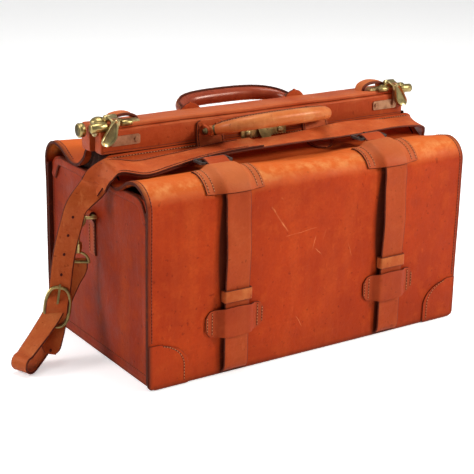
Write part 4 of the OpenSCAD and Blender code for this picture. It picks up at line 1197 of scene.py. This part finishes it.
def teardrop(cx, lean, sign):
    """Dished thumb piece with a raised rim: narrow at the pin, round at the bottom, leaning outwards."""
    lo, hi = corners("left_catch_lever")
    top, low = hi[2] - 2.5, FRAME_Z + 10.5
    y0 = lo[1]
    length = top - low
    vs = np.arange(40) * 2 * math.pi / 40
    c = np.array([0.0, low + 9.8])
    outline = []
    for a in vs:
        x, z = math.sin(a), -math.cos(a)
        if z < 0.25:
            outline.append((9.8 * x, c[1] + 9.8 * z))
        else:
            k = (z - 0.25) / 0.75
            outline.append((9.8 * x * (1 - 0.28 * k), c[1] + 9.8 * 0.25 + (top - c[1] - 2.3) * (k ** 0.9)))
    outline = np.array(outline)
    mid = np.array([0.0, low + length * 0.42])
    rings = []
    for u, h in ((1.0, 2.6), (1.02, 1.3), (1.0, 0.1), (0.95, -0.5), (0.88, 0.1), (0.80, 1.0), (0.6, 1.7), (0.3, 2.1), (0.05, 2.2)):
        q = mid + (outline - mid) * u
        rings.append((q, h))
    out = []
    for q, h in rings:
        x = cx + q[:, 0] + lean * (top - q[:, 1]) * 0.42
        out.append(np.column_stack([x, np.full(len(q), y0 + h - 0.6), q[:, 1]]))
    back_ring = np.array([[p[0], y0 + 3.4, p[2]] for p in out[0]])
    verts, faces, _ = loft([back_ring] + out)
    dish = [1 if min(f) >= 40 * 6 else 0 for f in faces]
    return verts, faces, dish


PIN_Y, PIN_Z = [(j["pos_m"][1] / MM, j["pos_m"][2] / MM) for j in frame["joints"] if j["name"] == "left_catch"][0]
for side, tag in ((-1, "left"), (1, "right")):
    lo, hi = corners(tag + "_catch_lever")
    cx = (lo[0] + hi[0]) / 2
    hub = tube((cx - 8.5, PIN_Y, PIN_Z), (cx + 8.5, PIN_Y, PIN_Z), 4.6)
    neck = strip([(cx, PIN_Y + 1, PIN_Z + 3.2), (cx, PIN_Y - 4, PIN_Z + 3.0), (cx, lo[1] + 2.4, PIN_Z - 1.5),
                  (cx + side * 1.0, lo[1] + 2.0, PIN_Z - 6)], (1, 0, 0), 13.0, 2.4, 0.4, 5)
    part = teardrop(cx, side, side)
    put(tag + "_thumb_piece", [part, hub, (neck[0], neck[1], [0] * len(neck[1]))], [BRASS_BRIGHT, BRASS_OLIVE],
        tag + "_catch", (tag + "_catch_lever",))

    z = RBAR_HI[2]
    y = LIP_Y - 1.0
    out = FRAME_X + side * 266
    rods = [tube((out, y + 1, z - 2.0), (cx + side * 11, y, z - 0.5), 6.2), tube((cx - side * 11, y, z + 1.0), (cx - side * 27, y, z + 1.0), 3.8),
            ball((cx + side * 10, 0, z - 0.5), 11.5, 0.7, 2), tube((out - side * 2, 2, z - 8), (out + side * 6, 2, z - 8), 9.5)]
    put(tag + "_catch_rods", rods, [BRASS], "rear_frame")
    put(tag + "_cap_face", [tube((out + side * 5.6, 2, z - 8), (out + side * 6.3, 2, z - 8), 7.4, cap=0.3)], [BRASS_DARK], "rear_frame")
    arch = smooth_path([(cx - side * 5, 1, z - 2), (cx - side * 8, 1, z + 5), (cx - side * 20, 1, z + 8.2), (cx - side * 33, 1, z + 7.4),
                        (cx - side * 42, 1, z + 3), (cx - side * 44, 1, z - 3)], 6)
    put(tag + "_catch_pad", [strip(arch, (0, 1, 0), 19, 4.4, 0.8)], [KEEPER, EDGE_RED], "rear_frame")

# ---------------------------------------------------------------- shoulder strap
CARRY_W = 36.0
LIE = (0.0, -0.86, -0.5)
HANG = (0.83, -0.56, 0.0)
lo, hi = corners("right_swivel_eye")
EYE_R = np.array([(lo[0] + hi[0]) / 2, (lo[1] + hi[1]) / 2, lo[2] + 1.9])
lo, hi = corners("left_swivel_eye")
EYE_L = np.array([(lo[0] + hi[0]) / 2, (lo[1] + hi[1]) / 2, lo[2] + 1.9])


def lie(deg, x=0.0):
    """Across direction of the strap lying along the shoulder, tipped forward by deg."""
    return (x, -math.cos(math.radians(deg)), -math.sin(math.radians(deg)))


lo, hi = corners("shoulder_buckle")
BUCKLE = (lo + hi) / 2
FALL = unit(np.array([0.25, 0.17, 0.95]))
WIDE = unit(np.array(HANG) - (np.array(HANG) @ FALL) * FALL)
FACE = unit(np.cross(WIDE, FALL))
FACE = FACE if FACE[1] < 0 else -FACE
LIE_Y = FBAR_LO[1] - 28
LIE_Z = FRAME_Z - 8.5
TURN_R = CARRY_W * 1.2


def eye_turn():
    """From the right eye's bar under and round to the outside of the end panel."""
    width = 0.8 * CARRY_W
    return [(tuple(EYE_R + off), (-0.83, -0.56, 0), width) for off in ((0, 4, 1), (0, 3.4, -7), (3, 0, -12), (8, -4, -10))]


def corner_arc(side, a0, a1, y0, y1, across0, across1, count):
    """Quarter turn of the strap over the corner between an end panel and the shoulder."""
    rows = []
    for u in np.linspace(0, 1, count):
        a = math.radians(a0 + (a1 - a0) * u)
        point = (side * (END_X - 20 + TURN_R * math.cos(a)), y0 + (y1 - y0) * u, LIE_Z - TURN_R + TURN_R * math.sin(a))
        rows.append((point, unit(np.array(across0) * (1 - u) + np.array(across1) * u), CARRY_W * (0.92 + 0.08 * u)))
    return rows


def along_shoulder():
    """The length lying along the shoulder: nearly level, sinking a little to the left, its tip rocking."""
    rows = []
    for x in np.linspace(0.78 * SIDE_X, -0.84 * SIDE_X, 12):
        sink = 12 * step(-x / SIDE_X, 0.25, 0.95) - 3 * bell(x, 0.5 * SIDE_X, 70)
        tip = 4 + 15 * bell(x, 0.45 * SIDE_X, 60) + 16 * step(-x / SIDE_X, 0.5, 0.9)
        rows.append(((x, LIE_Y, LIE_Z - sink), lie(tip), CARRY_W))
    return rows


def hanging_tail():
    """The punched tail: down from the corner, woven through the buckle, to a narrowed tip."""
    top = np.array([-END_X - 40, LIE_Y / 3, LIE_Z - 58])
    into = BUCKLE + 21 * FALL - 3.2 * FACE
    rows = []
    for u in np.linspace(0, 0.9, 5):
        rows.append((tuple(top + (into - top) * u + np.array([1, 10, 0]) * math.sin(math.pi * u)), HANG, 30))
    for along, off, width in ((21, -3.2, 30), (0, 3.4, 30), (-21, -3, 29.5), (-44, 7, 28), (-56, 10, 24), (-61, 11, 16)):
        rows.append((tuple(BUCKLE + along * FALL + off * FACE), HANG, width))
    return rows


right_part = eye_turn()
right_part += corner_arc(1, -60, 75, EYE_R[1] - 8, LIE_Y + 2, (-0.8, -0.6, 0), lie(12), 7)
right_part += along_shoulder()
right_part += corner_arc(-1, 62, 12, LIE_Y + 4, LIE_Y / 2, lie(16, 0.1), (0.7, -0.7, 0), 5)
right_part += hanging_tail()
points = [p for p, _, _ in right_part]
extra = [list(unit(a)) + [w] for _, a, w in right_part]
data = smooth_path(points, 7, extra)
carry_path, carry_across, carry_w = data[:, :3], data[:, 3:6], data[:, 6]
# the last length down to the right eye is a piece of its own
cut = int(np.argmax((carry_path[:, 2] > 202) & (np.arange(len(carry_path)) > 12)))
end_part = strip(carry_path[:cut + 1], carry_across[:cut + 1], carry_w[:cut + 1], 3.2, 0.5, 11)
put("carry_strap_end", [end_part], [CARRY, EDGE_RED], "right_ring_blend", ("shoulder_strap",))
part = strip(carry_path[cut:], carry_across[cut:], carry_w[cut:], 3.2, 0.5, 11)
put("carry_strap", [part], [CARRY, EDGE_RED], "carry_blend", ("shoulder_strap",))

# second layer stitched over the strap, ending square on the left shoulder
mask = (carry_path[:, 0] < -34) & (carry_path[:, 2] > 248)
up = unit(np.cross(unit(carry_across), tangents(carry_path)))
up = np.where(up[:, 2:] < 0, -up, up)
over = (carry_path + up * 3.1)[mask]
part = strip(over, carry_across[mask], 37.0, 2.8, 0.5, 11)
away = unit(over[-1] - over[-4])
tongue = smooth_path([over[-1] - away * k + np.array([0, 0, -drop]) for k, drop in ((16, 1), (-4, 1.5), (-14, 3), (-24, 6))], 6)
wide = np.interp(np.linspace(0, 1, len(tongue)), [0, 0.6, 0.85, 1.0], [28, 26, 20, 9])
put("carry_strap_layer", [part, strip(tongue, (0.2, -0.93, -0.3), wide, 2.4, 0.3)], [CARRY, EDGE], "carry_blend")
for sgn in (-1, 1):
    edge_line = over + up[mask] * 1.5 + unit(carry_across[mask]) * sgn * 14.6
    put(f"carry_layer_stitches_{'out' if sgn > 0 else 'in'}", stitch_row(edge_line[4:-3], up[mask][4:-3], 4.4, 2.8, 0.55, 0.35),
        [RED_THREAD, GROOVE], "carry_blend")

# punched holes down the tail
holes = []
for z in (206, 176, 148, 117, 50, 22):
    i = int(np.argmin(np.abs(carry_path[:, 2] - z) + 1e3 * (carry_path[:, 0] > -280)))
    n = unit(np.cross(carry_across[i], tangents(carry_path)[i]))
    if n[1] > 0:
        n = -n
    t = tangents(carry_path)[i]
    b = np.cross(n, t)
    rings = []
    for h, r in ((-0.6, 1.7), (0.72, 1.75), (0.86, 1.5)):
        a = np.arange(14) * 2 * math.pi / 14
        rings.append(carry_path[i] + n * (1.35 + h * 0.6) + r * (np.cos(a)[:, None] * t * 1.25 + np.sin(a)[:, None] * b))
    holes.append(loft(rings))
put("tail_holes", holes, [EDGE], "bag")

# short strap with the buckle: round the swivel eye, behind the tail, down to a bight and back up
SHORT_W = 28.0
OUT = unit(np.array([-0.93, -0.37, 0.0]))
BIGHT = (-OUT[1], OUT[0], 0.0)
BIGHT_R = 11.0
FLOOR_GAP = 3.2


def floor_loop(reach=66.0):
    """From behind the buckle out to a round bight on the floor, and back behind itself towards the eye."""
    near, far = BUCKLE - 5 * FACE, BUCKLE - 13 * FACE
    rows = []
    for t in (0.0, 0.2, 0.45, 0.7, 0.9):
        z = near[2] + 6 + (FLOOR_GAP + 2 * BIGHT_R - near[2] - 6) * t ** 0.8
        mixed = unit(np.array(HANG) * (1 - t) + np.array(BIGHT) * t)
        rows.append(((near[0] + OUT[0] * reach * t, near[1] + OUT[1] * reach * t, z), mixed, SHORT_W))
    for a in np.radians(np.linspace(90, -90, 7)):
        d = reach + BIGHT_R * math.cos(a)
        rows.append(((near[0] + OUT[0] * d, near[1] + OUT[1] * d, FLOOR_GAP + BIGHT_R * (1 + math.sin(a))), BIGHT, SHORT_W))
    for t in (0.8, 0.55, 0.3, 0.1):
        z = FLOOR_GAP + (far[2] - FLOOR_GAP) * (1 - t) ** 1.6
        mixed = unit(np.array(HANG) * (1 - t) + np.array(BIGHT) * t)
        rows.append(((far[0] + OUT[0] * reach * t, far[1] + OUT[1] * reach * t, z), mixed, SHORT_W))
    return rows


short = floor_loop()
short.append((tuple((BUCKLE - 12 * FACE + EYE_L) / 2 + np.array([4, 4, 2])), HANG, SHORT_W))
short += [(tuple(EYE_L + (0, 3.6, -8)), HANG, SHORT_W), (tuple(EYE_L + (0, 4.0, 3)), HANG, SHORT_W - 1)]
extra = [list(unit(a)) + [w] for _, a, w in short]
data = smooth_path([p for p, _, _ in short], 8, extra)
part = strip(data[:, :3], data[:, 3:6], data[:, 6], 3.0, 0.4, 11)
piece = put("short_strap", [part], [LOOP, EDGE_RED], "left_ring_blend", ("buckle_strap",))

# oval cast buckle round the tail, with its bar
rings = []
for a in np.arange(56) * 2 * math.pi / 56:
    c, q = math.cos(a), math.sin(a)
    point = (BUCKLE + WIDE * 16.5 * math.copysign(abs(c) ** 0.72, c) + FALL * 26.5 * math.copysign(abs(q) ** 0.80, q))
    outward = unit(WIDE * c * 1.5 + FALL * q)
    rings.append([point + 2.4 * (math.cos(b) * outward + math.sin(b) * FACE) for b in np.arange(12) * math.pi / 6])
bar = tube(BUCKLE - WIDE * 16, BUCKLE + WIDE * 16, 1.7, cap=0.4)
put("oval_buckle", [loft(rings, closed=True), bar], [BRASS], "bag", ("shoulder_buckle",))

# ---------------------------------------------------------------- tabs that hold the rings
parts, rows = [], []
for side in (-1, 1):
    lo, hi = corners("left_d_ring" if side < 0 else "right_d_ring")
    rx = side * (END_X + 5.8)
    ry, rz = 14.0, (lo[2] + hi[2]) / 2
    loop = [(side * (END_X + 1.6), ry, 141), (side * (END_X + 1.6), ry, 160), (side * (END_X + 1.8), ry, 182)]
    for a in np.radians([-150, -110, -60, -10, 40, 90, 130, 170, 200]):
        loop.append((rx - side * 4.0 * math.cos(a + math.pi), ry, rz + 4.0 * math.sin(a + math.pi)))
    outer = [(rx + side * 3.8 * math.cos(a), ry, rz + 3.8 * math.sin(a)) for a in np.radians(np.linspace(-60, 165, 10))]
    path = [(side * (END_X + 1.6), ry, 140), (side * (END_X + 1.6), ry, 150), (side * (END_X + 1.7), ry, 170),
            (side * (END_X + 2.6), ry, 186)] + outer + [(side * (END_X + 1.4), ry, 188)]
    path = smooth_path(path, 4)
    parts.append(strip(path, (0, 1, 0), 18, 2.4, 0.2, 7))
    for yy in (ry - 6.6, ry + 6.6):
        line = np.array([(side * (END_X + 2.9), yy, z) for z in np.linspace(143, 184, 14)])
        rows += stitch_row(line, np.broadcast_to([side, 0, 0], line.shape), 4.2, 2.6, 0.55)
put("ring_tabs", parts, [STRAP, EDGE], "bag", ("ring_chapes",))
put("ring_tab_stitches", rows, [PALE_THREAD, GROOVE], "bag")

# ---------------------------------------------------------------- materials on the CAD parts that stay
CAD_FINISH = {
    "base_panel": BODY, "base_board": BOARD, "front_welt": EDGE, "back_welt": EDGE, "end_boards": BOARD,
    "lining": LINING, "pivot_rivets": STEEL, "left_strap_buckle": STEEL, "right_strap_buckle": STEEL,
    "left_buckle_prong": STEEL, "right_buckle_prong": STEEL, "left_d_ring": BRASS, "right_d_ring": BRASS,
    "left_swivel_eye": BRASS, "right_swivel_eye": BRASS, "left_snap_hook": BRASS, "right_snap_hook": BRASS,
    "left_hook_gate": BRASS_DARK, "right_hook_gate": BRASS_DARK, "shoulder_buckle": BRASS, "shoulder_buckle_prong": BRASS,
    "front_frame_steel": STEEL, "rear_frame_steel": STEEL, "catch_plates": BRASS_ROSE, "catch_pins": BRASS_DARK,
    "left_catch_lever": BRASS_DARK, "right_catch_lever": BRASS_DARK, "catch_bars": BRASS_BRIGHT,
    "front_handle_pins": BRASS_DARK, "rear_handle_pins": BRASS_DARK, "lock_plate": BRASS, "lock_slide": BRASS_BRIGHT,
    "lock_bolt": STEEL, "lock_strike": STEEL,
}
for node, mat in CAD_FINISH.items():
    mesh = frame["nodes"][node].data
    mesh.materials.clear()
    mesh.materials.append(mat)

# ---------------------------------------------------------------- stage, light and camera


def floor():
    """Pale floor that curves up into a backdrop far behind the bag."""
    verts, faces = [], []
    profile = [(-14.0, 0.0), (3.5, 0.0)]
    profile += [(3.5 + 3.0 * math.sin(a), 3.0 - 3.0 * math.cos(a)) for a in np.radians(np.arange(10, 91, 10))]
    profile += [(6.5, 14.0)]
    for x in (-16.0, 16.0):
        for y, z in profile:
            verts.append((x, y, z - 0.0004))
    n = len(profile)
    for i in range(n - 1):
        faces.append((i, i + n, i + n + 1, i + 1))
    mesh = bpy.data.meshes.new("floor")
    mesh.from_pydata(verts, [], faces)
    mesh.polygons.foreach_set("use_smooth", [True] * len(mesh.polygons))
    n_ = Nodes("floor_pale")
    n_.put(n_.bsdf.inputs["Base Color"], rgb(0.93, 0.93, 0.93))
    n_.bsdf.inputs["Roughness"].default_value = 0.8
    n_.bsdf.inputs["Emission Color"].default_value = (1, 1, 1, 1)
    n_.put(n_.bsdf.inputs["Emission Strength"], n_.math("MULTIPLY", n_.make("ShaderNodeLightPath", 0), 0.5))
    mesh.materials.append(n_.mat)
    obj = bpy.data.objects.new("floor", mesh)
    bpy.context.scene.collection.objects.link(obj)


floor()


def area(name, place, target, size, energy, color=(1, 1, 1)):
    data = bpy.data.lights.new(name, "AREA")
    data.shape = "RECTANGLE"
    data.size, data.size_y = size
    data.energy = energy
    data.color = color
    obj = bpy.data.objects.new(name, data)
    obj.location = place
    obj.rotation_euler = (Vector(target) - Vector(place)).to_track_quat("-Z", "Y").to_euler()
    bpy.context.scene.collection.objects.link(obj)


area("key", (1.7, -1.5, 1.45), (0, 0, 0.15), (0.6, 0.6), 54, (1.0, 0.97, 0.93))
area("side", (-1.9, 0.7, 1.1), (-0.26, 0, 0.15), (0.7, 0.7), 22)
area("top", (0.0, 0.3, 2.6), (0, 0, 0.2), (1.4, 1.2), 34)

world = bpy.data.worlds.new("studio")
world.use_nodes = True
wt = world.node_tree
ambient = wt.nodes["Background"]
ambient.inputs[0].default_value = (1, 1, 1, 1)
ambient.inputs[1].default_value = 0.20
seen = wt.nodes.new("ShaderNodeBackground")
seen.inputs[0].default_value = (1, 1, 1, 1)
choose = wt.nodes.new("ShaderNodeMixShader")
wt.links.new(wt.nodes.new("ShaderNodeLightPath").outputs["Is Camera Ray"], choose.inputs[0])
wt.links.new(ambient.outputs[0], choose.inputs[1])
wt.links.new(seen.outputs[0], choose.inputs[2])
wt.links.new(choose.outputs[0], wt.nodes["World Output"].inputs[0])
bpy.context.scene.world = world
bpy.context.scene.view_settings.view_transform = "Standard"

AZ, EL, ROLL = -0.590, 0.323, 0.020
DIST, FOCAL, TARGET = 1.890, 1320.0, Vector((-0.031, 0.0, 0.130))
IMAGE = 474.0
camera = bpy.data.cameras.new("camera")
camera.sensor_width = 36.0
camera.lens = FOCAL / IMAGE * 36.0
camera.clip_end = 60.0
cam = bpy.data.objects.new("camera", camera)
back = Vector((math.sin(AZ) * math.cos(EL), -math.cos(AZ) * math.cos(EL), math.sin(EL)))
right = Vector((math.cos(AZ), math.sin(AZ), 0.0))
up = back.cross(right)
right_r = right * math.cos(ROLL) + up * math.sin(ROLL)
up_r = -right * math.sin(ROLL) + up * math.cos(ROLL)
cam.matrix_world = Matrix((
    (right_r.x, up_r.x, back.x, 0), (right_r.y, up_r.y, back.y, 0), (right_r.z, up_r.z, back.z, 0), (0, 0, 0, 1),
))
cam.location = TARGET + back * DIST
bpy.context.scene.collection.objects.link(cam)
bpy.context.scene.camera = cam
